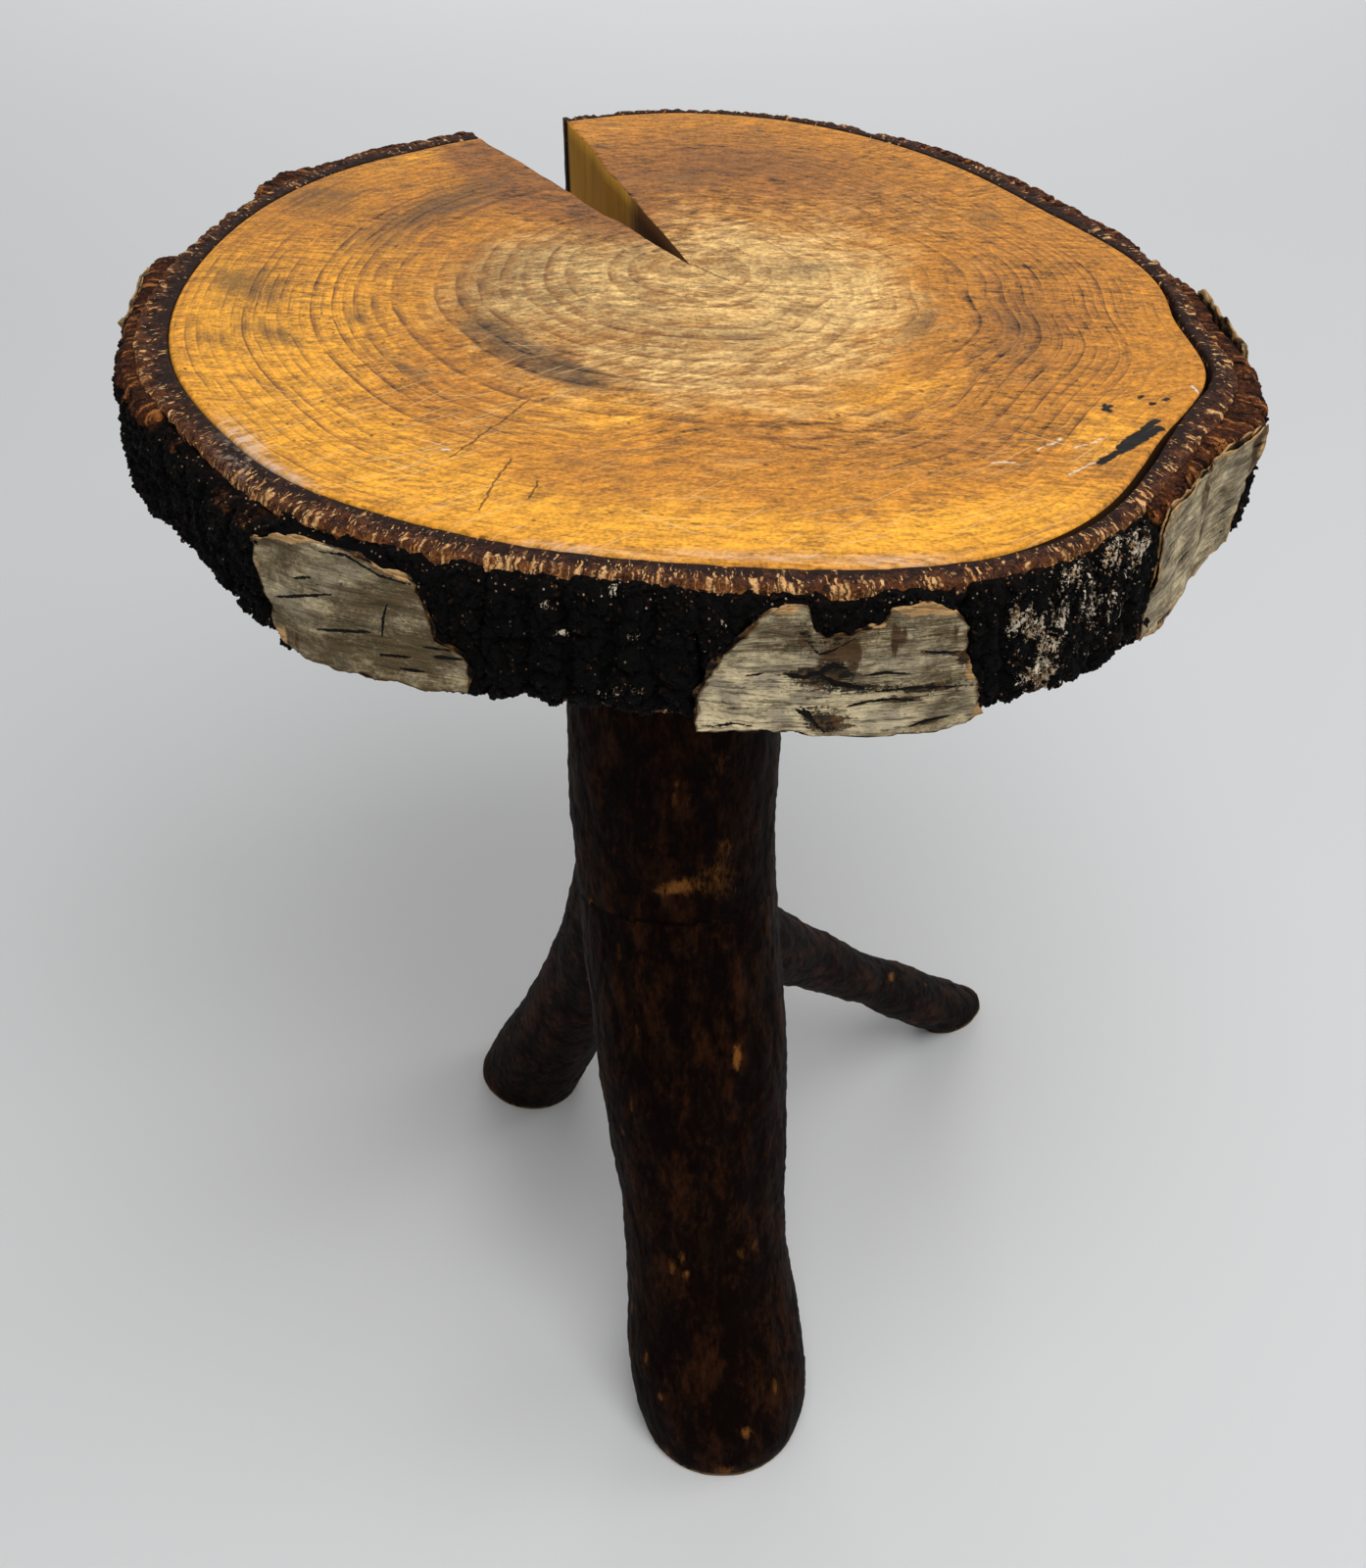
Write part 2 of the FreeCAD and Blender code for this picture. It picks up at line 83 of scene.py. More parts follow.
def lumps(points, size, seed=0):
    """Smooth noise from -1 to 1 at each point, with lumps about as large as size."""
    p = np.atleast_2d(np.asarray(points, float)) / size + 13.7 * seed + 5.3
    cell = np.floor(p).astype(np.int64)
    part = p - cell
    part = part * part * (3 - 2 * part)
    total = np.zeros(len(p))
    for corner in np.ndindex(2, 2, 2):
        c = cell + np.array(corner)
        mixed = (c[:, 0] * 73856093) ^ (c[:, 1] * 19349663) ^ (c[:, 2] * 83492791)
        mixed = ((mixed ^ (mixed >> 13)) * 1274126177) & 0xFFFFFFFF
        level = ((mixed ^ (mixed >> 16)) & 0xFFFF) / 32767.5 - 1
        total += level * np.prod(np.where(corner, part, 1 - part), axis=1)
    return total


def rough(points, size, octaves, seed=0):
    """Layered noise: each octave half as large and half as strong as the one before."""
    return sum(lumps(points, size / 2**k, seed + k) / 2**k for k in range(octaves))


def along_line(values, size, seed=0, octaves=2):
    """Layered noise along one measure, such as a length round the rim."""
    values = np.asarray(values, float)
    flat = np.c_[values.ravel(), np.zeros(values.size), np.zeros(values.size)]
    return rough(flat, size, octaves, seed).reshape(values.shape)


def arc_window(angles, start, end, soft):
    """1 between two angles of the rim and 0 outside, with soft ends."""
    inside = (np.asarray(angles, float) - start) % 360
    width = (end - start) % 360
    centred = np.where(inside > (360 + width) / 2, inside - 360, inside)
    return ease(centred, -soft, soft) * (1 - ease(centred, width - soft, width + soft))


def polar(points, centre=(0, 0)):
    """Angle in degrees and distance of each point about a centre in plan."""
    x, y = points[..., 0] - centre[0], points[..., 1] - centre[1]
    return np.degrees(np.arctan2(y, x)) % 360, np.hypot(x, y)


def photo_px(points):
    """Where the camera sees each point, in pixels of the photo's frame."""
    away = points - EYE
    depth = away[:, 1] * math.cos(EYE_PITCH) - away[:, 2] * math.sin(EYE_PITCH)
    down = -away[:, 1] * math.sin(EYE_PITCH) - away[:, 2] * math.cos(EYE_PITCH)
    return np.c_[PHOTO[0] / 2 + FOCAL_PX * away[:, 0] / depth, PHOTO[1] / 2 + FOCAL_PX * down / depth]


def photo_ray(x, y):
    """Direction in which the camera sees a pixel."""
    u, v = (x - PHOTO[0] / 2) / FOCAL_PX, (y - PHOTO[1] / 2) / FOCAL_PX
    c, s = math.cos(EYE_PITCH), math.sin(EYE_PITCH)
    return np.array([u, c - v * s, -s - v * c])


def on_top(x, y):
    """Plan place of a pixel on the table top."""
    ray = photo_ray(x, y)
    return (EYE + ray * (TOP - EYE[2]) / ray[2])[:2]


def proud(angles, heights):
    """How far the bark stands past its solid, most near the top, to reach the outline seen at the back."""
    most, foot_share = 0.007, 0.35
    first, last, soft = -26, 190, 6
    spare = np.clip(np.interp(angles, *BACK_REACH, period=360) - outer_radius(angles), 0, most)
    rise = (heights - UNDERSIDE) / (TOP - UNDERSIDE)
    return spare * arc_window(angles, first, last, soft) * (foot_share + (1 - foot_share) * rise)


def on_rim(x, y):
    """Angle and height of the point where a pixel meets the outside of the bark."""
    near, far, count = 0.3, 1.1, 1601
    points = EYE + np.linspace(near, far, count)[:, None] * photo_ray(x, y)
    angles, radii = polar(points)
    hit = np.argmax(radii < outer_radius(angles))
    return angles[hit], points[hit, 2]


def drawn(px, rows, width):
    """1 on ragged strokes that taper to their ends, each a row of pixel places."""
    best = np.zeros(len(px))
    ragged = 1 + 0.5 * rough(np.c_[px, np.zeros(len(px))], 7, 2, 3)
    for row in rows:
        row = np.array(row, float)
        for i, (a, b) in enumerate(zip(row[:-1], row[1:])):
            run = b - a
            share = np.clip((px - a) @ run / (run @ run), 0, 1)
            off = np.linalg.norm(px - a - share[:, None] * run, axis=1)
            along = 2 * (i + share) / (len(row) - 1) - 1
            half = width * ragged * np.sqrt(np.clip(1 - along**2, 0.04, 1))
            best = np.maximum(best, 1 - ease(off, 0.45 * half, half))
    return best


def near_blots(px, blots):
    """Strength from 0 up of soft oval blots: pixel, half width, half height, turn and strength of each."""
    total = np.zeros(len(px))
    for x, y, wide, high, turn, strength in blots:
        c, s = math.cos(math.radians(turn)), math.sin(math.radians(turn))
        dx, dy = px[:, 0] - x, px[:, 1] - y
        total += strength * np.exp(-(((dx * c + dy * s) / wide) ** 2) - ((dy * c - dx * s) / high) ** 2)
    return total


# The rim, read from the CAD nodes


def points_of(mesh):
    """Vertices of a mesh as an array, in metres."""
    flat = np.empty(3 * len(mesh.vertices), np.float32)
    mesh.vertices.foreach_get("co", flat)
    return flat.reshape(-1, 3).astype(float)


def node_points(name):
    """Vertices of a CAD node, in metres."""
    return points_of(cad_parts[name].data)


# What counts as level with the top, as the wood's rim, and as outside the wood and the inner bark, in metres.
LEVEL, RIM_FROM, BARK_FROM, CORK_FROM = 1e-5, 0.12, 0.003, 0.0015
# Faces of the plates: how far below the top, within how many degrees, and how far inside the furthest point.
FACE_DROP, FACE_ARC, FACE_DEPTH = 0.01, 1.5, 0.0006

slab_points = node_points("top_slab")
slab_top = slab_points[slab_points[:, 2] > TOP - LEVEL]
PITH = slab_top[np.argmin(np.hypot(slab_top[:, 0], slab_top[:, 1]))][:2]
slab_rim = slab_top[np.hypot(slab_top[:, 0], slab_top[:, 1]) > RIM_FROM]
WOOD_RIM = polar(slab_rim)
PITH_RIM = polar(slab_rim, PITH)
ring_points = node_points("inner_bark_ring")


def wood_radius(angles):
    """Radius of the wood's rim."""
    return np.interp(angles, *WOOD_RIM, period=360)


ring_angles, ring_radii = polar(ring_points)
BARK_RIM = tuple(v[ring_radii > wood_radius(ring_angles) + BARK_FROM] for v in (ring_angles, ring_radii))


def bark_radius(angles):
    """Radius of the inner bark's outside."""
    return np.interp(angles, *BARK_RIM, period=360)


def plate_span(name):
    """First angle, last angle, foot and head of a CAD piece of bark, whose angles may run through zero."""
    points = node_points(name)
    angles = np.sort(polar(points)[0])
    start = angles[(np.argmax(np.diff(np.r_[angles, angles[0] + 360])) + 1) % len(angles)]
    return start, start + np.max((angles - start) % 360), points[:, 2].min(), points[:, 2].max()


PLATES = sorted(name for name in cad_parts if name.startswith("cork_plate_"))
plate_points = np.concatenate([node_points(name) for name in PLATES])
plate_angles, plate_radii = polar(plate_points)
on_outside = plate_radii > bark_radius(plate_angles) + CORK_FROM
on_outside &= plate_points[:, 2] < TOP - FACE_DROP
plate_angles, plate_radii = plate_angles[on_outside], plate_radii[on_outside]
apart = np.abs((plate_angles[:, None] - plate_angles[None] + 180) % 360 - 180)
on_face = plate_radii > np.max(np.where(apart < FACE_ARC, plate_radii[None], 0), axis=1) - FACE_DEPTH
PLATE_RIM = (plate_angles[on_face], plate_radii[on_face])


def outer_radius(angles):
    """Radius of the outside of the cork plates."""
    return np.interp(angles, *PLATE_RIM, period=360)


# Outline of the bark against the wall, from the right round the back to the left, in photo pixels.
BACK_OUTLINE = [
    (1297, 420), (1286, 365), (1259, 338), (1227, 292), (1192, 270), (1146, 233), (1081, 199), (1018, 170),
    (954, 145), (895, 132), (832, 116), (761, 110), (660, 110), (577, 113), (492, 130), (466, 131),
    (389, 146), (330, 161), (284, 172), (259, 183), (257, 196), (243, 204), (207, 233), (186, 246),
    (161, 249), (154, 254), (141, 286), (131, 309), (120, 321), (118, 332), (125, 346), (120, 367),
]
BACK_REACH = polar(np.array([on_top(*px) for px in BACK_OUTLINE]))

pith_angles = np.sort(PITH_RIM[0])
check_gap = np.argmax(np.diff(pith_angles))
CHECK_WALLS = (pith_angles[check_gap + 1], pith_angles[check_gap] + 360)


def pith_reach(angles):
    """Distance from the pith to the wood's rim."""
    return np.interp(angles, *PITH_RIM, period=360)


def past_check(angles, lead=0):
    """Angle from some degrees before the check's first wall, where a pattern's seam isn't seen."""
    return (angles - CHECK_WALLS[0] + lead) % 360


def rim_run(angles):
    """Length round the bark that an angle in degrees makes."""
    return np.radians(angles) * RIM_REACH


# Meshes


def new_piece(name, points, faces, material):
    """A closed mesh piece with welded seams and outward faces."""
    weld, sliver = 2e-6, 1e-7
    mesh = bpy.data.meshes.new(name)
    mesh.from_pydata(points.tolist(), [], faces)
    shape = bmesh.new()
    shape.from_mesh(mesh)
    bmesh.ops.remove_doubles(shape, verts=shape.verts, dist=weld)
    bmesh.ops.dissolve_degenerate(shape, edges=shape.edges, dist=sliver)
    bmesh.ops.recalc_face_normals(shape, faces=shape.faces)
    for face in shape.faces:
        face.smooth = True
    shape.to_mesh(mesh)
    shape.free()
    piece = bpy.data.objects.new(name, mesh)
    bpy.context.scene.collection.objects.link(piece)
    mesh.materials.append(material)
    return piece


def sheet_faces(rows, columns, first=0, closed=False):
    """Quads of a grid of points laid out row by row."""
    columns_run = columns if closed else columns - 1
    r, c = np.meshgrid(np.arange(rows - 1), np.arange(columns_run), indexing="ij")
    a = first + r * columns + c
    b = first + r * columns + (c + 1) % columns
    return np.stack([a, b, b + columns, a + columns], axis=-1).reshape(-1, 4).tolist()


def swept(loops):
    """Points and faces of a solid swept through closed loops, with flat ends."""
    count, size = loops.shape[:2]
    faces = sheet_faces(count, size, closed=True)
    faces += [list(range(size)), list(range((count - 1) * size, count * size))[::-1]]
    return loops.reshape(-1, 3), faces


def fanned(radii, turn, heights):
    """Points at some radii, turns in radians and heights."""
    return np.stack([radii * np.cos(turn), radii * np.sin(turn), heights], axis=-1)


def move_points(piece, points):
    """Write the vertices of a piece's mesh."""
    piece.data.vertices.foreach_set("co", np.asarray(points, np.float32).ravel())
    piece.data.update()


def paint(piece, domain="POINT", **layers):
    """Keep values, or places, for each vertex or face as named attributes of the piece."""
    for name, values in layers.items():
        values = np.asarray(values, np.float32)
        kind, field = ("FLOAT_VECTOR", "vector") if values.ndim > 1 else ("FLOAT", "value")
        piece.data.attributes.new(name, kind, domain).data.foreach_set(field, values.ravel())


def place(piece, slot, *nodes):
    """Ride the piece on the table and let it stand for its CAD nodes."""
    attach(piece, "root")
    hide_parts(*nodes)


# Node trees


class Wire:
    """A socket of a node tree. Arithmetic on it adds Math nodes, and node() adds any other node."""

    def __init__(self, tree, socket=None):
        self.tree = tree
        self.socket = socket

    def node(self, kind, settings=None, sockets=None, out=0):
        """Add a node, set its settings, then its sockets' values or links, and return one of its outputs."""
        made = self.tree.nodes.new(kind)
        for name, value in (settings or {}).items():
            setattr(made, name, value)
        for key, value in (sockets or {}).items():
            for entry in value if isinstance(value, list) else [value]:
                if isinstance(entry, Wire):
                    self.tree.links.new(entry.socket, made.inputs[key])
                else:
                    made.inputs[key].default_value = entry
        return Wire(self.tree, made.outputs[out] if len(made.outputs) else None)

    def math(self, operation, *values):
        return self.node("ShaderNodeMath", {"operation": operation}, dict(enumerate(values)))

    def __add__(self, other):
        return self.math("ADD", self, other)

    def __sub__(self, other):
        return self.math("SUBTRACT", self, other)

    def __rsub__(self, other):
        return self.math("SUBTRACT", other, self)

    def __mul__(self, other):
        return self.math("MULTIPLY", self, other)

    def __rtruediv__(self, other):
        return self.math("DIVIDE", other, self)

    __radd__ = __add__
    __rmul__ = __mul__


def first_wire(*values):
    """The first of some values that is a wire, to add a node with."""
    return next(value for value in values if isinstance(value, Wire))


def largest(wires):
    """The largest of some wires at each place."""
    return functools.reduce(lambda a, b: a.math("MAXIMUM", a, b), wires)


def step(value, low, high):
    """Smooth step of a wire from 0 at low to 1 at high."""
    return value.node("ShaderNodeMapRange", {"interpolation_type": "SMOOTHSTEP"}, {0: value, 1: low, 2: high})


def mix(factor, a, b, mode="MIX"):
    """Blend two colours by a factor. Each may be a wire or plain."""
    plain = {key: value for key, value in ((6, a), (7, b)) if not isinstance(value, Wire)}
    sockets = {0: factor, 6: a, 7: b, **{key: (*value, 1.0) for key, value in plain.items()}}
    settings = {"data_type": "RGBA", "blend_type": mode}
    return first_wire(factor, a, b).node("ShaderNodeMix", settings, sockets, 2)


def dimmed(colour, share):
    """A share of a property's colour."""
    return tuple(share * channel for channel in colour)


def vector_math(operation, *values, out=0):
    """A Vector Math node on wires and plain vectors."""
    sockets = dict(enumerate(values))
    return first_wire(*values).node("ShaderNodeVectorMath", {"operation": operation}, sockets, out)


def grown(vector, factor):
    """A vector times a number. Either may be plain."""
    sockets = {0: vector, 3: factor}
    return first_wire(vector, factor).node("ShaderNodeVectorMath", {"operation": "SCALE"}, sockets)


def scaled(vector, scale):
    """A vector wire times a vector, part by part."""
    return vector_math("MULTIPLY", vector, scale)


def turned(vector, degrees, scale):
    """A place turned about Z and then stretched, for grain that runs one way."""
    spun = vector.node("ShaderNodeVectorRotate", {"rotation_type": "Z_AXIS"},
                       {"Vector": vector, "Angle": math.radians(degrees)})
    return scaled(spun, scale)


def pattern_place(x, y):
    """A place in a pattern's own plane, made of two wires."""
    return x.node("ShaderNodeCombineXYZ", None, {0: x, 1: y})


def noise(vector, size, detail=2.0, roughness=0.5, warp=0.0, out=0):
    """Noise from 0 to 1 with lumps about as large as size."""
    sockets = {"Vector": vector, "Scale": 1 / size, "Detail": detail}
    sockets.update({"Roughness": roughness, "Distortion": warp})
    return vector.node("ShaderNodeTexNoise", None, sockets, out)


def stroke(flat, start, end, thin, soft):
    """1 on a thin straight stroke between two plan places, fading out from thin to soft metres beside it."""
    run = np.array([*(end - start), 0.0])
    away = vector_math("SUBTRACT", flat, (*start, 0.0))
    dot = vector_math("DOT_PRODUCT", away, tuple(run / (run @ run)), out=1)
    share = dot.node("ShaderNodeClamp", None, {0: dot})
    off = vector_math("DISTANCE", away, grown(tuple(run), share), out=1)
    return 1 - step(off, thin, soft)


def strokes(flat, rows, thin, soft):
    """1 on any of some strokes, each a row of photo pixels on the table top."""
    ends = [(on_top(*a), on_top(*b)) for row in rows for a, b in zip(row[:-1], row[1:])]
    return largest(stroke(flat, a, b, thin, soft) for a, b in ends)


def lane_scratches(at, spin, gap, reach):
    """1 on thin straight scratches that run one way, each in its own lane and for a part of its length."""
    core, fringe = 0.00006, 0.00028
    lanes = turned(at, spin, (1 / reach, 1 / gap, 0))
    along, across = (lanes.node("ShaderNodeSeparateXYZ", None, {0: lanes}, out=i) for i in (0, 1))
    across = across + (noise(at, 0.05, 1) - 0.5) * 0.5
    lane = across.math("FLOOR", across)
    chance = lane.node("ShaderNodeTexWhiteNoise", {"noise_dimensions": "1D"}, {"W": lane})
    off = across - lane - 0.15 - 0.7 * chance
    thin = 1 - step(off.math("ABSOLUTE", off) * gap, core, fringe)
    reached = noise(pattern_place(along + chance * 40.0, lane * 7.3), 1.0, 1)
    return thin * step(reached, 0.55, 0.64)


def cells(vector, size, feature="F1", out=0):
    """Cells about as large as size: the distance to a cell's middle or edge, or its own colour."""
    sockets = {"Vector": vector, "Scale": 1 / size}
    return vector.node("ShaderNodeTexVoronoi", {"feature": feature}, sockets, out)


def cell_chance(vector, size):
    """A random value from 0 to 1 for each cell."""
    tint = cells(vector, size, out=1)
    return tint.node("ShaderNodeSeparateColor", None, {0: tint})


def new_material(name):
    """An empty material, as a wire to add its nodes with."""
    material = bpy.data.materials.new(name)
    material.use_nodes = True
    material.node_tree.nodes.clear()
    return material, Wire(material.node_tree)


def attribute(wire, name):
    """A named value of the piece."""
    return wire.node("ShaderNodeAttribute", {"attribute_name": name}, out=2)


def object_place(wire):
    """Place on the piece in metres."""
    return wire.node("ShaderNodeTexCoord", out=3)


def finish_surface(colour, roughness, height, depth, shine=0.5):
    """Close a material: colour, roughness, a relief of a depth in metres and the strength of its shine."""
    bump = height.node("ShaderNodeBump", None, {"Height": height, "Distance": depth})
    sockets = {"Base Color": colour, "Roughness": roughness, "Normal": bump, "Specular IOR Level": shine}
    shader = height.node("ShaderNodeBsdfPrincipled", None, sockets)
    height.node("ShaderNodeOutputMaterial", None, {"Surface": shader})


def shape_tree(name, **inputs):
    """An empty geometry tree with named inputs, its input wires and the ids of its sockets."""
    tree = bpy.data.node_groups.new(name, "GeometryNodeTree")
    tree.interface.new_socket("Geometry", in_out="OUTPUT", socket_type="NodeSocketGeometry")
    ids = {}
    for label, kind in {"Geometry": "Geometry", **inputs, "Material": "Material"}.items():
        socket = tree.interface.new_socket(label, in_out="INPUT", socket_type=f"NodeSocket{kind}")
        ids[label] = socket.identifier
    wires = {label: Wire(tree).node("NodeGroupInput", out=i) for i, label in enumerate(ids)}
    return tree, wires, ids


def kept_value(wire, name, kind="FLOAT"):
    """A named value of the mesh that a geometry tree works on."""
    return wire.node("GeometryNodeInputNamedAttribute", {"data_type": kind}, {"Name": name})


def close_tree(geometry, material):
    """End a geometry tree in real meshes with their material."""
    real = geometry.node("GeometryNodeRealizeInstances", None, {"Geometry": geometry})
    done = geometry.node("GeometryNodeSetMaterial", None, {"Geometry": real, "Material": material})
    geometry.node("NodeGroupOutput", None, {"Geometry": done})


def run_tree(piece, tree, ids, values):
    """Run a geometry tree on a piece and keep the result as its plain mesh."""
    modifier = piece.modifiers.new(tree.name, "NODES")
    modifier.node_group = tree
    for label, value in values.items():
        modifier[ids[label]] = value
    graph = bpy.context.evaluated_depsgraph_get()
    made = piece.evaluated_get(graph)
    mesh = bpy.data.meshes.new_from_object(made, preserve_all_data_layers=True, depsgraph=graph)
    piece.modifiers.remove(modifier)
    old = piece.data
    piece.data = mesh
    bpy.data.meshes.remove(old)
    mesh.name = piece.name


# What a user would change


def length(label, description, default):
    """A size in metres."""
    return bpy.props.FloatProperty(name=label, description=description, default=default, min=0,
                                   unit="LENGTH", precision=5)


def colour(label, description, default):
    """A colour of a finish."""
    return bpy.props.FloatVectorProperty(name=label, description=description, default=default, min=0, max=1,
                                         size=3, subtype="COLOR")


def amount(label, description, default):
    """A plain share or strength."""
    return bpy.props.FloatProperty(name=label, description=description, default=default, min=0)


class TrunkTop(bpy.types.PropertyGroup):
    """Sizes and colours of the wooden slice"""

    edge_round: length("Edge round", "Rounding of the sanded top edge", 0.0016)
    check_wave: length("Check wave", "How far the walls of the drying check wander", 0.0011)
    inner_ring: amount("Inner rings", "Spacing of the rings near the pith, in shares of the way out", 0.042)
    outer_ring: amount("Outer rings", "Spacing of the rings near the rim, in shares of the way out", 0.0205)
    gold: colour("Gold", "Oiled sapwood", (0.95, 0.425, 0.037))
    amber: colour("Amber", "Deeper bands of the sapwood", (0.62, 0.248, 0.030))
    heart: colour("Heart", "Stained heart of the slice", (0.43, 0.275, 0.102))
    heart_pale: colour("Pale heart", "Pale flames in the heart", (0.90, 0.585, 0.22))
    grey_stain: colour("Grey stain", "Grey streaks of old damp", (0.11, 0.068, 0.032))
    # Also the colour of painted shade: towards the back and the right of the top, and on the wood's side near
    # the rim.
    stain_and_shade_brown: colour("Brown stain", "Brown clouds", (0.29, 0.110, 0.028))
    ring_soft: colour("Ring band", "Brown late wood of a year's growth", (0.36, 0.140, 0.032))
    ring_line: colour("Ring line", "Dark edge of a year's growth", (0.17, 0.07, 0.018))
    # Painted highlight: the pale reflection of light on the worn front rim of the wood.
    haze: colour("Haze", "Worn whitish bloom at the rim", (0.70, 0.56, 0.46))
    scratch: colour("Scratch", "Pale scratches in the oil", (1.0, 0.68, 0.32))
    nick: colour("Nick", "White nicks in the wood", (0.85, 0.78, 0.66))
    char: colour("Black inclusion", "Bark grown into the wood", (0.012, 0.010, 0.008))
    check_wall: colour("Check wall", "Bare split wood in the check", (0.60, 0.31, 0.035))
    under_wood: colour("Underside", "Raw sawn wood of the underside", (0.47, 0.30, 0.15))


class TrunkBark(bpy.types.PropertyGroup):
    """Sizes and colours of the bark"""

    shrinkage: length("Shrinkage gap", "Widest gap where the bark has pulled away from the wood", 0.0024)
    relief: length("Cork relief", "Depth of the fissures in the cork", 0.0017)
    lump: length("Cork lump", "Width of a lump of cork", 0.0062)
    crumb: length("Largest crumb", "Half the width of the largest loose crumb of cork", 0.0013)
    crumbs: amount("Crumbs", "Loose crumbs of cork on a square metre", 150000)
    curl: length("Sheet curl", "How far the torn edges of the white sheets lift", 0.0013)
    inner_dark: colour("Inner bark", "Dark inner bark", (0.016, 0.0046, 0.0020))
    inner_red: colour("Red inner bark", "Red-brown inner bark", (0.150, 0.043, 0.013))
    fleck: colour("Fleck", "Orange flecks in the bark", (0.60, 0.22, 0.055))
    fleck_pale: colour("Pale fleck", "Cream flecks in the bark", (0.98, 0.58, 0.24))
    cork: colour("Cork", "Black cork", (0.0016, 0.0011, 0.0009))
    # Partly painted light: besides rubbed wear, this brown lightens the tops of the lumps, while the fissures
    # stay black as painted shade.
    cork_brown_and_lit_tops: colour("Brown cork", "Rubbed tops of the cork", (0.030, 0.0125, 0.006))
    flake: colour("Flake", "Grey-beige weathered flakes", (0.88, 0.76, 0.59))
    paper: colour("White bark", "Pale papery bark", (0.82, 0.68, 0.415))
    paper_dark: colour("Weathered bark", "Grey-olive weathered paper", (0.125, 0.090, 0.042))
    under: colour("Under layer", "Tan layer under the paper", (0.50, 0.25, 0.085))
    # Painted highlight: the whitish reflection of light on the bark at the left front, beside the rim.
    bloom: colour("Bloom", "Whitish bloom on the inner bark", (0.40, 0.33, 0.29))
    tawny: colour("Tawny flake", "Brown backs of the flakes", (0.48, 0.30, 0.15))
    paper_warm: colour("Warm paper", "Duller and warmer parts of the paper", (0.46, 0.385, 0.26))
    streak: colour("Streak", "Dark level streaks of the paper", (0.045, 0.029, 0.015))
    hair: colour("Hair crack", "Fine level cracks of the paper", (0.016, 0.010, 0.006))
    rust: colour("Rust", "Rusty fibres of the paper", (0.22, 0.105, 0.034))
    drip: colour("Drip", "Brown drips on the paper", (0.075, 0.033, 0.010))
    scar: colour("Black scar", "Black of the torn scars", (0.006, 0.004, 0.003))
    scar_brown: colour("Brown scar", "Brown of the torn scars", (0.120, 0.058, 0.020))
    pore: colour("Pore", "Breathing pores and cracks of the paper", (0.004, 0.0028, 0.002))
    torn: colour("Torn layer", "Pale tan of freshly torn edges", (0.66, 0.44, 0.20))
    # Partly painted shade: the dark beneath the lifted torn edges of the paper.
    behind: colour("Behind the paper", "Dark bark behind the torn edges", (0.010, 0.005, 0.003))


class TrunkLimbs(bpy.types.PropertyGroup):
    """Sizes and colours of the fork"""

    voxel: length("Joining step", "Step of the mesh that joins the limbs into one fork", 0.0017)
    relief: length("Bark relief", "Depth of the limbs' bark", 0.0011)
    lump: length("Bark lump", "Width of a lump of the limbs' bark", 0.011)
    black: colour("Black bark", "Dark stained bark", (0.0036, 0.0011, 0.0005))
    red: colour("Red bark", "Red-brown mottling", (0.042, 0.0130, 0.0040))
    worn: colour("Worn bark", "Golden rubbed patches", (0.30, 0.115, 0.024))
    grey: colour("Grey bark", "Dry brownish bloom", (0.028, 0.0120, 0.0050))
    sawn: colour("Sawn end", "Sawn soles of the legs", (0.42, 0.27, 0.13))
    dowel: colour("Dowel", "Turned hardwood dowels", (0.60, 0.42, 0.24))


class TrunkStage(bpy.types.PropertyGroup):
    """Colours and light of the studio"""

    floor: colour("Floor", "Plain pale floor", (0.78, 0.79, 0.80))
    key: amount("Key light", "Power of the large soft lamp above the viewer, in watts", 18.0)
    side: amount("Side light", "Power of the lamp on the right, in watts", 4.5)
    far: amount("Far light", "Power of the lamp over the floor behind the table, in watts", 36.0)
    sky: amount("Surround", "Strength of the pale surround", 0.32)


# Finishes


def top_marks(look, at, colours, worn):
    """Hair cracks, black inclusions and white nicks, drawn over the wood's colours with a shaky hand."""
    wobble = vector_math("SUBTRACT", noise(at, 0.003, 3, out=1), (0.5, 0.5, 0.5))
    flat = scaled(vector_math("MULTIPLY_ADD", wobble, (0.003, 0.003, 0), at), (1, 1, 0))
    cracks = strokes(flat, HAIR_CRACKS, 0.0001, 0.0006)
    chars = strokes(flat, BLACK_STROKES, 0.0011, 0.0018)
    chars = largest((chars, strokes(flat, BLACK_SPECKS, 0.0005, 0.0013)))
    colours = mix(cracks * 0.8, colours, dimmed(look.ring_line, 0.4))
    colours = mix(chars, colours, look.char)
    return mix(strokes(flat, WHITE_NICKS, 0.0, 0.0008) * worn, colours, look.nick)


def split_wood(look, at, ring):
    """Colour and relief of the check's bare walls, split along the trunk and dark by the pith, with painted
    shade near the rim, where the wood's side lies in the gap to the bark.
    """
    split = noise(scaled(at, (1, 1, 0.06)), 0.0026, 4, 0.65)
    wall = mix(split, dimmed(look.check_wall, 0.4), look.check_wall)
    wall = mix(step(ring + (split - 0.5) * 0.3, 0.36, 0.5), dimmed(look.stain_and_shade_brown, 0.32), wall)
    # Painted shade: the side of the wood near the rim turns dark brown, as the shadow in the gap to the bark.
    return mix(step(ring, 0.965, 0.99), wall, dimmed(look.stain_and_shade_brown, 0.15)), split


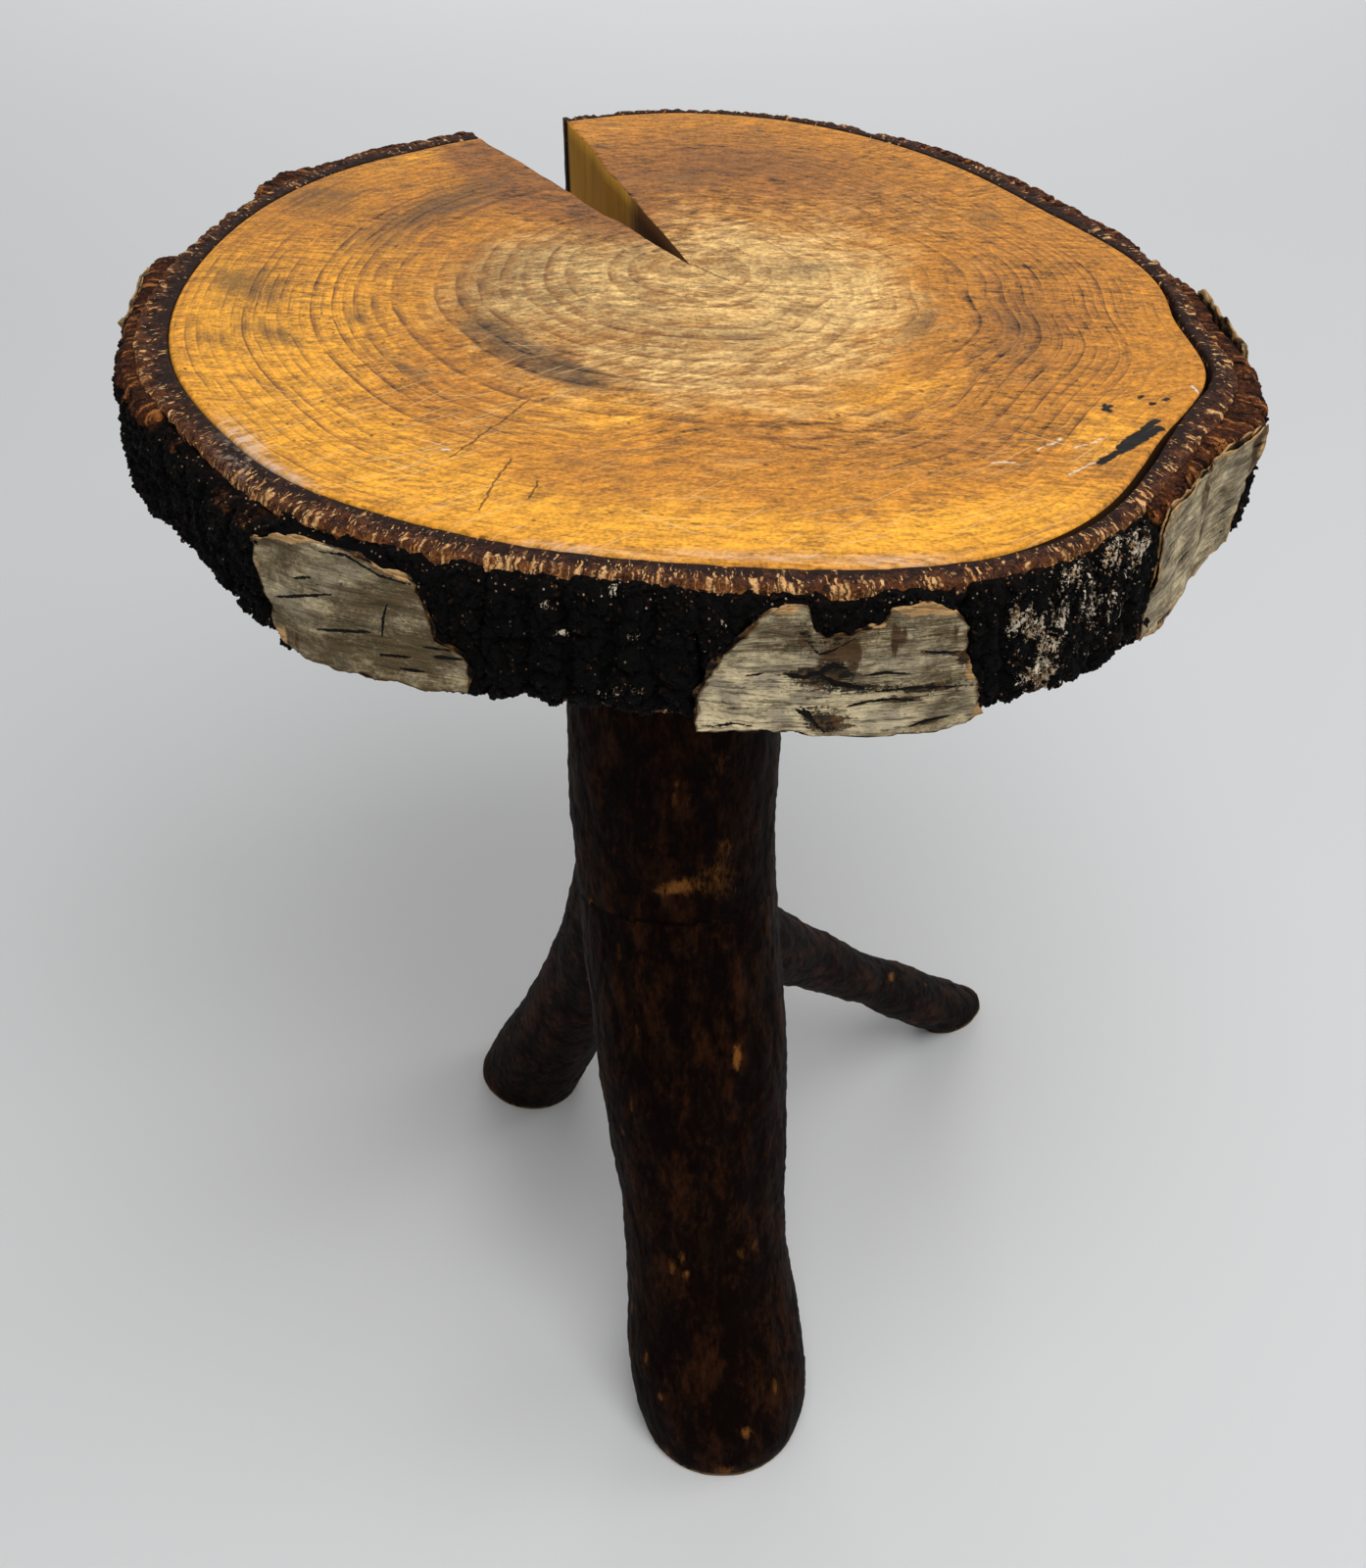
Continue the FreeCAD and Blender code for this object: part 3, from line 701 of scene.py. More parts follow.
def slab_wood(look):
    """Oiled end grain: soft broken rings, a stained heart, sanding marks, scratches and the check's walls."""
    material, w = new_material("slab_wood")
    at = object_place(w)
    ring, side, under, around, brown = (
        attribute(w, name) for name in ("ring", "side", "under", "around", "brown"))
    broad = noise(at, 0.06, 3)
    cloud = noise(turned(at, 8, (1, 1.8, 1)), 0.018, 5, 0.62)
    mottle = noise(turned(at, 5, (1, 2.4, 1)), 0.0065, 4, 0.7)
    lean = step(noise(at, 0.05, 1), 0.4, 0.6)
    sanded = [noise(turned(at, spin, (1 / 0.008, 1 / 0.0017, 1)), 1.0, 4, 0.62) for spin in (9, -24)]
    fibre = step(sanded[0] * lean + sanded[1] * (1 - lean), 0.3, 0.7)
    grain = noise(at, 0.0013, 3, 0.7)
    texture = fibre * 0.3 + cloud * 1.2 - 0.75
    # Gold is partly the sapwood's own colour and partly painted light, brighter towards the front and the
    # left.
    gold_and_light_share = attribute(w, "gold") * 0.75 + broad * 0.4 + texture * 0.5
    colours = mix(step(gold_and_light_share, 0.25, 0.8), look.amber, look.gold)
    rightward = at.node("ShaderNodeSeparateXYZ", None, {0: at})
    # The pale flames grow towards +X, so the heart is paler to the right.
    flame = cloud * 0.6 + mottle * 0.4 + (fibre - 0.5) * 0.12 + rightward * 1.4
    heart = mix(step(flame, 0.36, 0.62), look.heart, look.heart_pale)
    blush = attribute(w, "heart") + texture * 0.9 + (broad - 0.5) * 0.8 + (mottle - 0.5) * 0.5
    colours = mix(step(blush, 0.15, 1.0) * 0.95, colours, heart)
    wander = (noise(at, 0.07, 2) - 0.5) * 1.1 + (noise(at, 0.008, 2) - 0.5) * 0.2
    phase = attribute(w, "phase") + wander
    year = phase.math("FRACT", phase)
    count = phase.math("FLOOR", phase)
    strength = 0.3 + 0.9 * count.node("ShaderNodeTexWhiteNoise", {"noise_dimensions": "1D"}, {"W": count})
    streak = noise(pattern_place(around * 46.0, phase * 1.4), 1.0, 4, 0.65)
    ray = noise(pattern_place(around * 300.0, ring * 7.0), 1.0, 3, 0.6)
    ringed = attribute(w, "ringed") * strength
    late = step(year, 0.05, 0.9) * (1 - step(year, 0.9, 1.0))
    band = late * ringed * step(streak, 0.25, 0.7)
    broken = step(streak + (grain - 0.5) * 0.5, 0.44, 0.62)
    line = step(year, 0.66, 0.9) * (1 - step(year, 0.93, 1.0)) * broken * ringed
    fine = (phase * 3.0).math("FRACT", phase * 3.0)
    colours = mix(band * 0.95, colours, look.ring_soft)
    colours = mix(line * 0.78, colours, look.ring_line)
    colours = mix(step(fine, 0.4, 1.0) * ringed * 0.2, colours, look.ring_line)
    smoke = texture * 0.9 + (streak - 0.5) * 0.9
    # The brown value is partly real brown stain and partly painted shade, darker towards the back and the
    # right.
    colours = mix(step(brown + smoke, 0.12, 1.15) * 0.9, colours, look.stain_and_shade_brown)
    damp = attribute(w, "grey") + smoke * 1.5 + (mottle - 0.5) * 1.2
    colours = mix(step(damp, 0.12, 1.2) * 0.74, colours, look.grey_stain)
    colours = mix(step(ring, 0.955, 0.99) * 0.4, colours, look.amber)
    arc = pattern_place(around * 210.0, phase * 1.6)
    chosen = step(cell_chance(arc, 1.0) + attribute(w, "dashed") * 0.35, 0.88, 0.96)
    dashes = (1 - step(cells(arc, 1.0) + (grain - 0.5) * 0.3, 0.1, 0.3)) * chosen
    colours = mix(dashes * 0.7, colours, dimmed(look.ring_line, 0.6))
    blotch = noise(turned(at, 8, (1, 2.2, 1)), 0.012, 4, 0.62)
    colours = mix(step(blotch, 0.5, 0.68) * 0.42, colours, look.stain_and_shade_brown)
    value = 0.66 * fibre + 0.54 * step(grain, 0.3, 0.7) + 0.40 * ray + 0.84 * mottle - 0.2
    uneven = (cloud - 0.5) * 1.5 + (mottle - 0.5) * 1.3 + (fibre - 0.5) * 0.3 + 0.02
    uneven = uneven - 0.42 * band - 0.4 * line
    colours = mix(1.0, colours, value + uneven * step(brown, 0.02, 0.5), "MULTIPLY")
    pricks = step(noise(turned(at, 6, (1 / 0.005, 1 / 0.0011, 1)), 1.0, 2), 0.6, 0.72)
    colours = mix(pricks * 0.5, colours, look.ring_line)
    scratched = largest(lane_scratches(at, *lane) for lane in SCRATCH_LANES) * attribute(w, "scratched")
    colours = mix(scratched * 0.6, colours, look.scratch)
    # Painted highlight: a whitish reflection of light along the worn front rim, which is also a little
    # rougher there.
    rim_highlight_mask = attribute(w, "haze") * (0.3 + fibre * 0.7)
    colours = mix(step(rim_highlight_mask, 0.15, 1.3), colours, look.haze)
    colours = top_marks(look, at, colours, step(fibre * 0.4 + grain, 0.45, 0.9))
    wall, split = split_wood(look, at, ring)
    colours = mix(side, colours, wall)
    saw = noise(turned(at, 62, (1 / 0.09, 1 / 0.0011, 1)), 1.0, 3, 0.6)
    colours = mix(under, colours, mix(saw, dimmed(look.under_wood, 0.6), look.under_wood))
    roughness = 0.48 + 0.18 * fibre + 0.15 * rim_highlight_mask + 0.3 * side
    height = 0.4 * fibre + 0.3 * grain - 0.5 * scratched + 1.2 * split * side + under * saw
    finish_surface(colours, roughness, height, 0.00015, 0.16)
    return material


def inner_bark(look):
    """Sawn bark: dark and fine beside the wood, red-brown with pale flecks and copper crests further out."""
    material, w = new_material("inner_bark")
    at = object_place(w)
    across, inward, flecked = (attribute(w, name) for name in ("across", "inward", "fleck"))
    mottle = noise(at, 0.004, 4, 0.65)
    grain = noise(at, 0.0009, 3, 0.7)
    patchy = noise(at, 0.008, 2, 0.6)
    reddish = step(mottle + across * 0.3 + (grain - 0.5) * 0.9, 0.56, 0.96)
    colours = mix(reddish, look.inner_dark, look.inner_red)
    strip = pattern_place(attribute(w, "along") * 560.0, inward * 230.0)
    bent = vector_math("MULTIPLY_ADD", noise(at, 0.003, 3, out=1), (1.6, 1.6, 0), strip)
    crest = step(across + (mottle - 0.5) * 0.9 + (grain - 0.5) * 0.5, 0.86, 1.1) * flecked
    colours = mix(crest * 0.7, colours, dimmed(look.fleck, 0.5))
    spots = []
    for size, begin, full, share in FLECK_SIZES:
        ragged = 1 - step(cells(bent, size) + (grain - 0.5) * 0.8, 0.24, 0.46)
        zone = flecked * step(across, begin, full)
        spots.append(ragged * step(cell_chance(bent, size) + zone * share + (patchy - 0.5) * 0.5, 0.92, 1.02))
    spots = largest(spots)
    pale = step(noise(bent, 0.8, 2) + (grain - 0.5) * 0.6, 0.32, 0.58)
    colours = mix(spots * 0.92, colours, mix(pale, look.fleck, look.fleck_pale))
    # Painted highlight: a whitish reflection of light on the bark at the left front, carried on from the
    # wood's rim.
    bloom = attribute(w, "bloom") * step(mottle + (grain - 0.5) * 0.6, 0.42, 0.7)
    colours = mix(bloom * 0.7, colours, look.bloom)
    skin = mix(step(mottle + (grain - 0.5) * 0.6, 0.5, 0.85), look.cork, look.cork_brown_and_lit_tops)
    colours = mix(step(attribute(w, "skin") + (mottle - 0.5) * 0.8, 0.3, 0.6), colours, skin)
    height = 0.8 * spots + mottle + 0.8 * grain + 0.4 * crest
    finish_surface(colours, 0.66 - 0.15 * spots, height, 0.0009, 0.2)
    return material


def cork_bark(look):
    """Black granular cork, red-brown and ridged where it is sawn, with small tan and pale dots, partly real
    flecks and partly painted glints of light, and pale flakes.
    """
    material, w = new_material("cork_bark")
    at = object_place(w)
    height, flaked, lip = (attribute(w, name) for name in ("height", "flaked", "lip"))
    mottle = noise(at, 0.006, 4, 0.7)
    grain = noise(at, 0.0010, 3, 0.75)
    # Brown on the lumps' tops: partly rubbed wear, partly painted light on the tops and painted shade in the
    # fissures.
    colours = mix(step(height * 0.5 + mottle + grain * 0.3, 0.9, 1.4), look.cork, look.cork_brown_and_lit_tops)
    # Small tan and pale dots: partly real flecks, partly painted glints that stand in for highlights on the
    # rough cork.
    speck_and_glint = 1 - step(cells(at, 0.0012) + (grain - 0.5) * 0.5, 0.12, 0.4)
    picked = cell_chance(at, 0.0012) + lip * 0.12 + flaked * 0.14 + (mottle - 0.5) * 0.4
    glint = mix(step(grain, 0.4, 0.6), dimmed(look.fleck, 0.55), dimmed(look.flake, 0.9))
    colours = mix(speck_and_glint * step(picked, 0.95, 1.02) * 0.8, colours, glint)
    ridge = noise(pattern_place(attribute(w, "along") * 430.0, attribute(w, "deep") * 90.0), 1.0, 3, 0.6)
    ridge = ridge + (grain - 0.5) * 0.3
    sawn = mix(step(mottle * 0.5 + grain * 0.5, 0.35, 0.7), look.inner_dark, look.inner_red)
    sawn = mix(1 - step(ridge, 0.36, 0.5), sawn, dimmed(look.inner_dark, 0.4))
    sawn = mix(step(ridge, 0.54, 0.66) * 0.7, sawn, look.fleck)
    colours = mix(step(lip * attribute(w, "sawn") + (mottle - 0.5) * 0.7, 0.3, 0.6), colours, sawn)
    layers = noise(scaled(at, (1, 1, 1.8)), 0.006, 5, 0.74, 0.9)
    sliver = noise(scaled(at, (1, 1, 0.24)), 0.0021, 4, 0.7, 0.9)
    shard = noise(scaled(at, (1, 1, 0.4)), 0.0012, 3, 0.7, 0.4)
    near = step(flaked, 0.0, 0.35)
    pale = step(flaked * 0.55 + ((layers - 0.5) * 1.8 + (sliver - 0.5) * 2.6) * near, 0.5, 0.64)
    pale = pale * step(shard + (grain - 0.5) * 0.5, 0.43, 0.51)
    flake = mix(step(layers, 0.44, 0.58), look.tawny, look.flake)
    flake = mix(step(sliver + (grain - 0.5) * 0.9, 0.32, 0.52), dimmed(look.flake, 0.1), flake)
    colours = mix(pale * 0.92, colours, flake)
    finish_surface(colours, 0.6 + 0.25 * grain, grain + 0.5 * mottle, 0.0010, 0.1)
    return material


def white_bark(look):
    """Papery pale bark: level fibres, breathing pores, brown drips, torn scars and ragged tan edges, with
    painted shade along the torn edges.
    """
    material, w = new_material("white_bark")
    at = object_place(w)
    layer, edge, bright, striped = (attribute(w, name) for name in ("layer", "edge", "bright", "striped"))
    level = scaled(at, (1, 1, 9))
    fine = noise(level, 0.014, 5, 0.72, 0.6)
    broad = noise(scaled(at, (1, 1, 1.8)), 0.013, 4, 0.65)
    grain = noise(at, 0.0011, 3, 0.75)
    tone = broad * 1.05 + fine * 0.45 + grain * 0.5 + bright * 0.6
    warm = mix(step(noise(at, 0.009, 3), 0.4, 0.6), look.paper, look.paper_warm)
    colours = mix(step(tone, 0.88, 1.36), look.paper_dark, warm)
    streaks = step(noise(level, 0.010, 5, 0.75, 1.0) + (grain - 0.5) * 0.3, 0.54, 0.66) * striped
    colours = mix(streaks * 0.65, colours, look.streak)
    hairs = step(noise(scaled(at, (1, 1, 24)), 0.022, 4, 0.7, 0.4), 0.57, 0.62) * striped
    colours = mix(hairs * 0.85, colours, look.hair)
    ashen = step(noise(at, 0.008, 5, 0.72) + (fine - 0.5) * 0.5, 0.5, 0.72)
    colours = mix(ashen * 0.5, colours, dimmed(look.paper_dark, 0.6))
    rusty = step(noise(level, 0.007, 4, 0.7, 0.8) + (grain - 0.5) * 0.3, 0.53, 0.66)
    colours = mix(rusty * 0.45, colours, look.rust)
    threads = noise(scaled(at, (1, 1, 14)), 0.012, 4, 0.7, 0.5) + (grain - 0.5) * 0.3
    colours = mix(step(threads, 0.55, 0.66) * striped * 0.72, colours, look.paper)
    runs = noise(scaled(at, (1, 1, 0.12)), 0.0018, 4, 0.7)
    drips = attribute(w, "stain") + (runs - 0.5) * 1.7 + (grain - 0.5) * 0.6
    colours = mix(step(drips, 0.36, 0.8) * 0.9, colours, look.drip)
    burnt = mix(step(noise(at, 0.0035, 3) + (grain - 0.5) * 0.5, 0.47, 0.63), look.scar, look.scar_brown)
    scarred = step(attribute(w, "scar") + (fine - 0.5) * 2.4 + (grain - 0.5) * 1.4, 0.46, 0.56)
    colours = mix(scarred * 0.95, colours, burnt)
    marked = step(attribute(w, "mark") + (grain - 0.5) * 0.9 + (fine - 0.5) * 0.9, 0.46, 0.56)
    colours = mix(marked, colours, look.pore)
    torn = mix(noise(at, 0.003, 3), look.under, look.torn)
    tan = step(attribute(w, "lip") + 1.1 * (noise(at, 0.006, 3) - 0.5) + (grain - 0.5) * 0.4, 0.4, 0.62)
    # Painted shade: the paper darkens along its torn edges, where it lifts off the cork.
    edge_shade = step(edge + 1.2 * (noise(at, 0.003, 3) - 0.5), 0.62, 0.9)
    colours = mix(edge_shade * 0.8, colours, dimmed(look.under, 0.24))
    colours = mix(tan, colours, torn)
    # The under layer where it shows past the paper: dark bark with painted shade beneath the torn edges, and
    # tan on the lips.
    bare = step(noise(at, 0.004, 3) + (grain - 0.5) * 0.4, 0.45, 0.75)
    below = mix(bare, look.behind, dimmed(look.under, 0.5))
    colours = mix(1 - layer, colours, mix(tan * 0.9, below, torn))
    height = fine + 0.7 * grain - 0.7 * streaks - 0.8 * hairs - marked - 0.8 * scarred
    finish_surface(colours, 0.62 + 0.22 * fine, height, 0.0007, 0.16)
    return material


def limb_bark(look):
    """Stained limb bark: near black, mottled red-brown, with a dry bloom, golden rubs and sawn soles."""
    material, w = new_material("limb_bark")
    strip = scaled(w.node("ShaderNodeAttribute", {"attribute_name": "grain_at"}, out=1), (1, 1, 0.42))
    mottle = noise(strip, 0.011, 4, 0.68)
    grain = noise(strip, 0.0018, 4, 0.75)
    # Redder on the lumps' tops through the kept height: real red mottling, with painted light on the tops.
    reddish = step(mottle * 0.9 + grain * 0.5 + attribute(w, "height") * 0.3, 0.66, 1.1)
    colours = mix(reddish, look.black, look.red)
    bloom = step(noise(strip, 0.018, 4, 0.7) + (grain - 0.5) * 0.7, 0.5, 0.8)
    colours = mix(bloom * 0.45, colours, look.grey)
    rub = 1 - step(cells(strip, 0.0045) + (grain - 0.5) * 1.1, 0.05, 0.4)
    rub = rub * step(cell_chance(strip, 0.0045) + mottle * 0.1, 1.0, 1.04)
    rubbed = largest((rub * 0.45, step(attribute(w, "worn") * (grain * 2.2 - 0.35), 0.2, 0.95)))
    colours = mix(rubbed * 0.75, colours, look.worn)
    sawn = mix(noise(object_place(w), 0.004, 3), dimmed(look.sawn, 0.5), look.sawn)
    colours = mix(attribute(w, "sole"), colours, sawn)
    finish_surface(colours, 0.62 - 0.12 * mottle, mottle + 0.9 * grain, 0.0009, 0.03)
    return material


def dowel_wood(look):
    """Turned hardwood with straight grain along the dowel."""
    material, w = new_material("dowel_wood")
    grain = noise(scaled(object_place(w), (1, 1, 0.05)), 0.0016, 3, 0.6)
    colours = mix(grain, dimmed(look.dowel, 0.6), look.dowel)
    finish_surface(colours, 0.55 + 0.2 * grain, grain, 0.0002)
    return material


def pale_floor(look):
    """A plain pale floor with the faintest unevenness."""
    material, w = new_material("pale_floor")
    soft = noise(object_place(w), 0.35, 2)
    colours = mix(soft, look.floor, dimmed(look.floor, 0.97))
    finish_surface(colours, 0.8 + 0.05 * soft, soft, 0.0002)
    return material


# The slice of wood

# Marks on the table top, as rows of photo pixels.
HAIR_CRACKS = [
    [(704, 269), (722, 277), (744, 287)],
    [(540, 408), (500, 438), (460, 466)],
    [(522, 468), (503, 494), (488, 520)],
    [(548, 492), (540, 508)],
]
BLACK_STROKES = [[(1123, 472), (1152, 456), (1183, 437)], [(1142, 457), (1162, 443), (1180, 430)]]
BLACK_SPECKS = [
    [(1126, 418), (1134, 415)], [(1128, 414), (1132, 419)], [(1163, 406), (1165, 405)],
    [(1175, 413), (1177, 412)], [(1190, 408), (1191, 407)],
]
WHITE_NICKS = [
    [(453, 458), (458, 459)], [(1098, 456), (1131, 447)], [(1058, 459), (1084, 448)],
    [(1090, 485), (1117, 471)], [(1012, 473), (1036, 471)], [(1216, 394), (1222, 399)],
]

# Scratches that run one way: turn in degrees, gap between their lanes and longest reach in metres.
SCRATCH_LANES = (
    (-38, 0.006, 0.045), (-30, 0.008, 0.05), (-46, 0.009, 0.03), (-20, 0.010, 0.04), (33, 0.018, 0.03),
    (-3, 0.009, 0.05),
)

# Soft clouds on the table top: photo pixel, half width, half height, turn in degrees, strength.
GREY_CLOUDS = [
    (326, 203, 44, 17, 0, 0.95), (468, 199, 58, 13, -16, 0.95), (420, 226, 60, 13, -14, 0.6),
    (380, 250, 60, 16, -10, 0.35), (252, 287, 46, 20, 12, 0.85), (278, 340, 32, 12, 10, 0.9),
    (220, 346, 26, 10, 0, 0.7), (240, 312, 40, 30, 0, 0.35), (365, 322, 14, 11, 30, 0.9),
    (540, 360, 76, 15, 24, 1.1), (590, 384, 44, 14, 10, 0.8), (505, 345, 30, 16, 30, 0.5),
    (495, 285, 20, 34, 0, 0.5), (560, 250, 60, 12, -24, 0.4), (655, 262, 40, 14, 20, 0.6),
    (738, 272, 30, 9, 6, 0.55), (420, 380, 40, 10, 30, 0.6), (812, 275, 42, 13, 4, 0.7),
    (735, 345, 84, 15, 0, 0.6), (620, 320, 60, 14, 10, 0.35), (880, 395, 60, 10, -20, 0.55),
    (1040, 340, 32, 44, 20, 0.6), (800, 165, 100, 24, 4, 0.35), (690, 185, 54, 16, -8, 0.55),
    (960, 215, 60, 14, 20, 0.4), (946, 330, 17, 38, 24, 0.5), (1010, 221, 16, 9, 0, 0.6),
    (636, 502, 18, 18, 0, 0.5), (590, 474, 24, 10, 0, 0.5),
]
# Brown clouds: real brown stains, with painted shade where the top is darker towards the back and the right.
BROWN_AND_SHADE_CLOUDS = [
    (520, 166, 84, 30, 28, 2.4), (600, 206, 54, 22, 30, 1.2), (430, 222, 90, 22, -12, 0.6),
    (700, 165, 140, 34, 0, 0.6), (880, 200, 150, 40, 10, 0.4), (1030, 335, 70, 80, 0, 0.7),
    (850, 450, 130, 34, 0, 0.5), (1000, 455, 80, 34, -6, 0.5), (760, 180, 260, 60, 0, 0.35),
    (480, 320, 60, 60, 0, 0.25), (700, 430, 90, 24, 0, 0.3), (570, 375, 80, 20, 16, 0.6),
    (400, 395, 70, 30, 30, 0.3), (1110, 320, 60, 70, 0, 0.3), (640, 210, 60, 30, 30, 0.5),
    (290, 300, 60, 40, 0, 0.3),
]
# Gold clouds: the sapwood's gold, with painted light where the top is brighter at the front and the left.
GOLD_AND_LIGHT_CLOUDS = [
    (250, 400, 120, 70, 20, 1.0), (430, 500, 180, 46, 14, 1.0), (640, 545, 220, 30, 0, 1.0),
    (1010, 540, 150, 34, -8, 1.0), (420, 160, 80, 14, -10, 0.5), (620, 420, 90, 30, 0, 0.6),
    (340, 310, 120, 80, 0, 0.55), (1130, 440, 60, 36, -20, 0.6), (900, 400, 90, 30, -10, 0.5),
    (210, 300, 40, 60, 0, 0.5),
]
HEART_CLOUDS = [
    (690, 320, 200, 88, 3, 0.85), (545, 285, 85, 52, -20, 0.55), (865, 320, 100, 72, 0, 0.55),
    (760, 245, 130, 42, 0, 0.4), (660, 395, 130, 34, 4, 0.25),
]
HEART_RIM_CLOUDS = [(500, 290, 60, 60, 0, 0.45), (930, 350, 60, 50, 0, 0.5)]
# Painted highlight along the worn front rim, where the rounded edge reflects the light.
RIM_HIGHLIGHT_CLOUDS = [
    (250, 452, 44, 16, 42, 1.1), (300, 487, 34, 8, 22, 0.9), (560, 556, 70, 6, 6, 0.7),
    (760, 567, 160, 7, 2, 0.9), (940, 570, 90, 8, -4, 0.6), (1105, 462, 34, 12, -24, 0.5),
]
RING_CLOUDS = [
    (330, 310, 150, 120, 0, 1.0), (420, 420, 170, 90, 0, 0.75), (1090, 330, 80, 120, 0, 1.2),
    (600, 330, 130, 84, 0, 0.6), (760, 330, 130, 70, 0, 0.4), (700, 200, 200, 50, 0, 0.4),
    (800, 420, 200, 60, 0, 0.3), (960, 300, 60, 70, 0, 0.4),
]
DASH_CLOUDS = [
    (900, 310, 34, 40, 0, 1.0), (1110, 330, 60, 70, 0, 0.6), (340, 320, 100, 80, 0, 0.5),
    (520, 390, 60, 40, 0, 0.5), (420, 470, 120, 40, 0, 0.4),
]
SCRATCH_CLOUDS = [
    (430, 470, 190, 60, 8, 1.0), (640, 530, 240, 36, 0, 0.9), (960, 530, 200, 40, 0, 0.8),
    (1080, 458, 60, 30, 0, 1.0), (540, 380, 90, 50, 0, 0.8), (330, 400, 120, 80, 0, 0.6),
    (900, 400, 200, 90, 0, 0.35), (700, 350, 160, 80, 0, 0.4),
]


def slab_shape(look):
    """Points and faces of the slice: rows from the pith to a rounded rim, fanned round, and the two walls."""
    columns, rows, turns, wall_rows = 360, 100, 6, 7
    angles = np.linspace(*CHECK_WALLS, columns)
    reach = pith_reach(angles)[:, None]
    bend = np.linspace(0, math.pi / 2, turns + 1)[1:]
    edge = look.edge_round
    radii = np.hstack([np.linspace(0, 1, rows) * (reach - edge), reach - edge + edge * np.sin(bend)])
    heights = np.r_[np.full(rows, TOP), TOP - edge * (1 - np.cos(bend))]
    walls = np.linspace(TOP - edge, UNDERSIDE + edge, wall_rows + 2)[1:-1]
    radii = np.hstack([radii, np.repeat(reach, wall_rows, axis=1), radii[:, ::-1]])
    heights = np.r_[heights, walls, TOP + UNDERSIDE - heights[::-1]]
    turn = np.radians(angles)[:, None]
    loops = np.stack([PITH[0] + radii * np.cos(turn), PITH[1] + radii * np.sin(turn),
                      np.broadcast_to(heights, radii.shape)], axis=-1)
    points = loops.reshape(-1, 3)
    faces = sheet_faces(columns, loops.shape[1])
    half = rows + turns
    share = np.linspace(0, 1, wall_rows + 2)[:, None, None]
    for column in (0, columns - 1):
        wall = loops[column, :half] * (1 - share) + loops[column, ::-1][:half] * share
        faces += sheet_faces(wall_rows + 2, half, first=len(points))
        points = np.concatenate([points, wall.reshape(-1, 3)])
    return points, faces


def paint_slab(piece, look):
    """Keep the rings and the clouds of colour as values of the slab's points."""
    ring_change, heart_rim, heart_soft, flat_share = 0.65, 0.43, 0.02, 0.35
    points = points_of(piece.data)
    angles, radii = polar(points, PITH)
    ring = np.clip(radii / pith_reach(angles), 0, 1)
    lifted = np.c_[points[:, :2], np.full(len(points), TOP)]
    px = photo_px(lifted)
    near, far = look.inner_ring, look.outer_ring
    phase = np.where(ring < ring_change, ring / near, ring_change / near + (ring - ring_change) / far)
    wavy = ring + 0.05 * rough(lifted, 0.05, 3, 4)
    heart_edge = np.exp(-(((wavy - heart_rim) / heart_soft) ** 2)) * near_blots(px, HEART_RIM_CLOUDS)
    paint(piece, ring=ring, phase=phase, around=past_check(angles, 2) / 360,
          heart=near_blots(px, HEART_CLOUDS),
          ringed=np.clip(0.25 + near_blots(px, RING_CLOUDS), 0, 1),
          grey=np.clip(near_blots(px, GREY_CLOUDS) + heart_edge, 0, 1.3))
    clouds = {"brown": BROWN_AND_SHADE_CLOUDS, "gold": GOLD_AND_LIGHT_CLOUDS, "haze": RIM_HIGHLIGHT_CLOUDS, "dashed": DASH_CLOUDS,
              "scratched": SCRATCH_CLOUDS}
    paint(piece, **{name: np.clip(near_blots(px, rows), 0, 1.2) for name, rows in clouds.items()})
    normals = np.empty(3 * len(piece.data.polygons), np.float32)
    piece.data.polygons.foreach_get("normal", normals)
    upward = normals.reshape(-1, 3)[:, 2]
    paint(piece, domain="FACE", side=np.abs(upward) < flat_share, under=upward < -flat_share)


def wave_check(piece, look):
    """Let the walls of the check wander, and the rim with them, without opening a seam."""
    reach, wave = 0.005, 0.022
    still, moving = 0.004, 0.03
    points = points_of(piece.data)
    angles, radii = polar(points, PITH)
    for i, wall in enumerate(CHECK_WALLS):
        off = np.radians((angles - wall + 180) % 360 - 180)
        weight = np.exp(-np.abs(radii * np.sin(off)) / reach) * (np.cos(off) > 0) * ease(radii, still, moving)
        on_wall = np.c_[radii, points[:, 2] * 0.25, np.zeros(len(radii))]
        shift = weight * look.check_wave * rough(on_wall, wave, 4, 3 + i)
        turn = math.radians(wall + 90)
        points[:, 0] += shift * math.cos(turn)
        points[:, 1] += shift * math.sin(turn)
    move_points(piece, points)


class TRUNK_OT_slab(bpy.types.Operator):
    """Build the ringed slice of wood with its open drying check"""

    bl_idname = "trunk.slab"
    bl_label = "Slab"

    def execute(self, context):
        look = context.scene.trunk_top
        piece = new_piece("slab", *slab_shape(look), slab_wood(look))
        paint_slab(piece, look)
        wave_check(piece, look)
        place(piece, "slab_wood", "top_slab")
        return {"FINISHED"}


# The bark

# Flecks of the inner bark: size in cells, where across the bark they begin and are full, and strength.
FLECK_SIZES = ((1.4, 0.4, 0.8, 0.56), (0.8, 0.3, 0.7, 0.5), (0.42, 0.0, 0.6, 0.4))
# Arcs with more flecks: first angle, last angle, softness of the ends and strength.
FLECKED_ARCS = ((226, 316, 12, 0.65), (150, 226, 10, 0.25), (316, 370, 8, 0.3))
# Painted highlight on the bark at the left front, as a cloud of photo pixels.
BARK_HIGHLIGHT_CLOUDS = [(245, 466, 26, 22, 40, 1.0)]


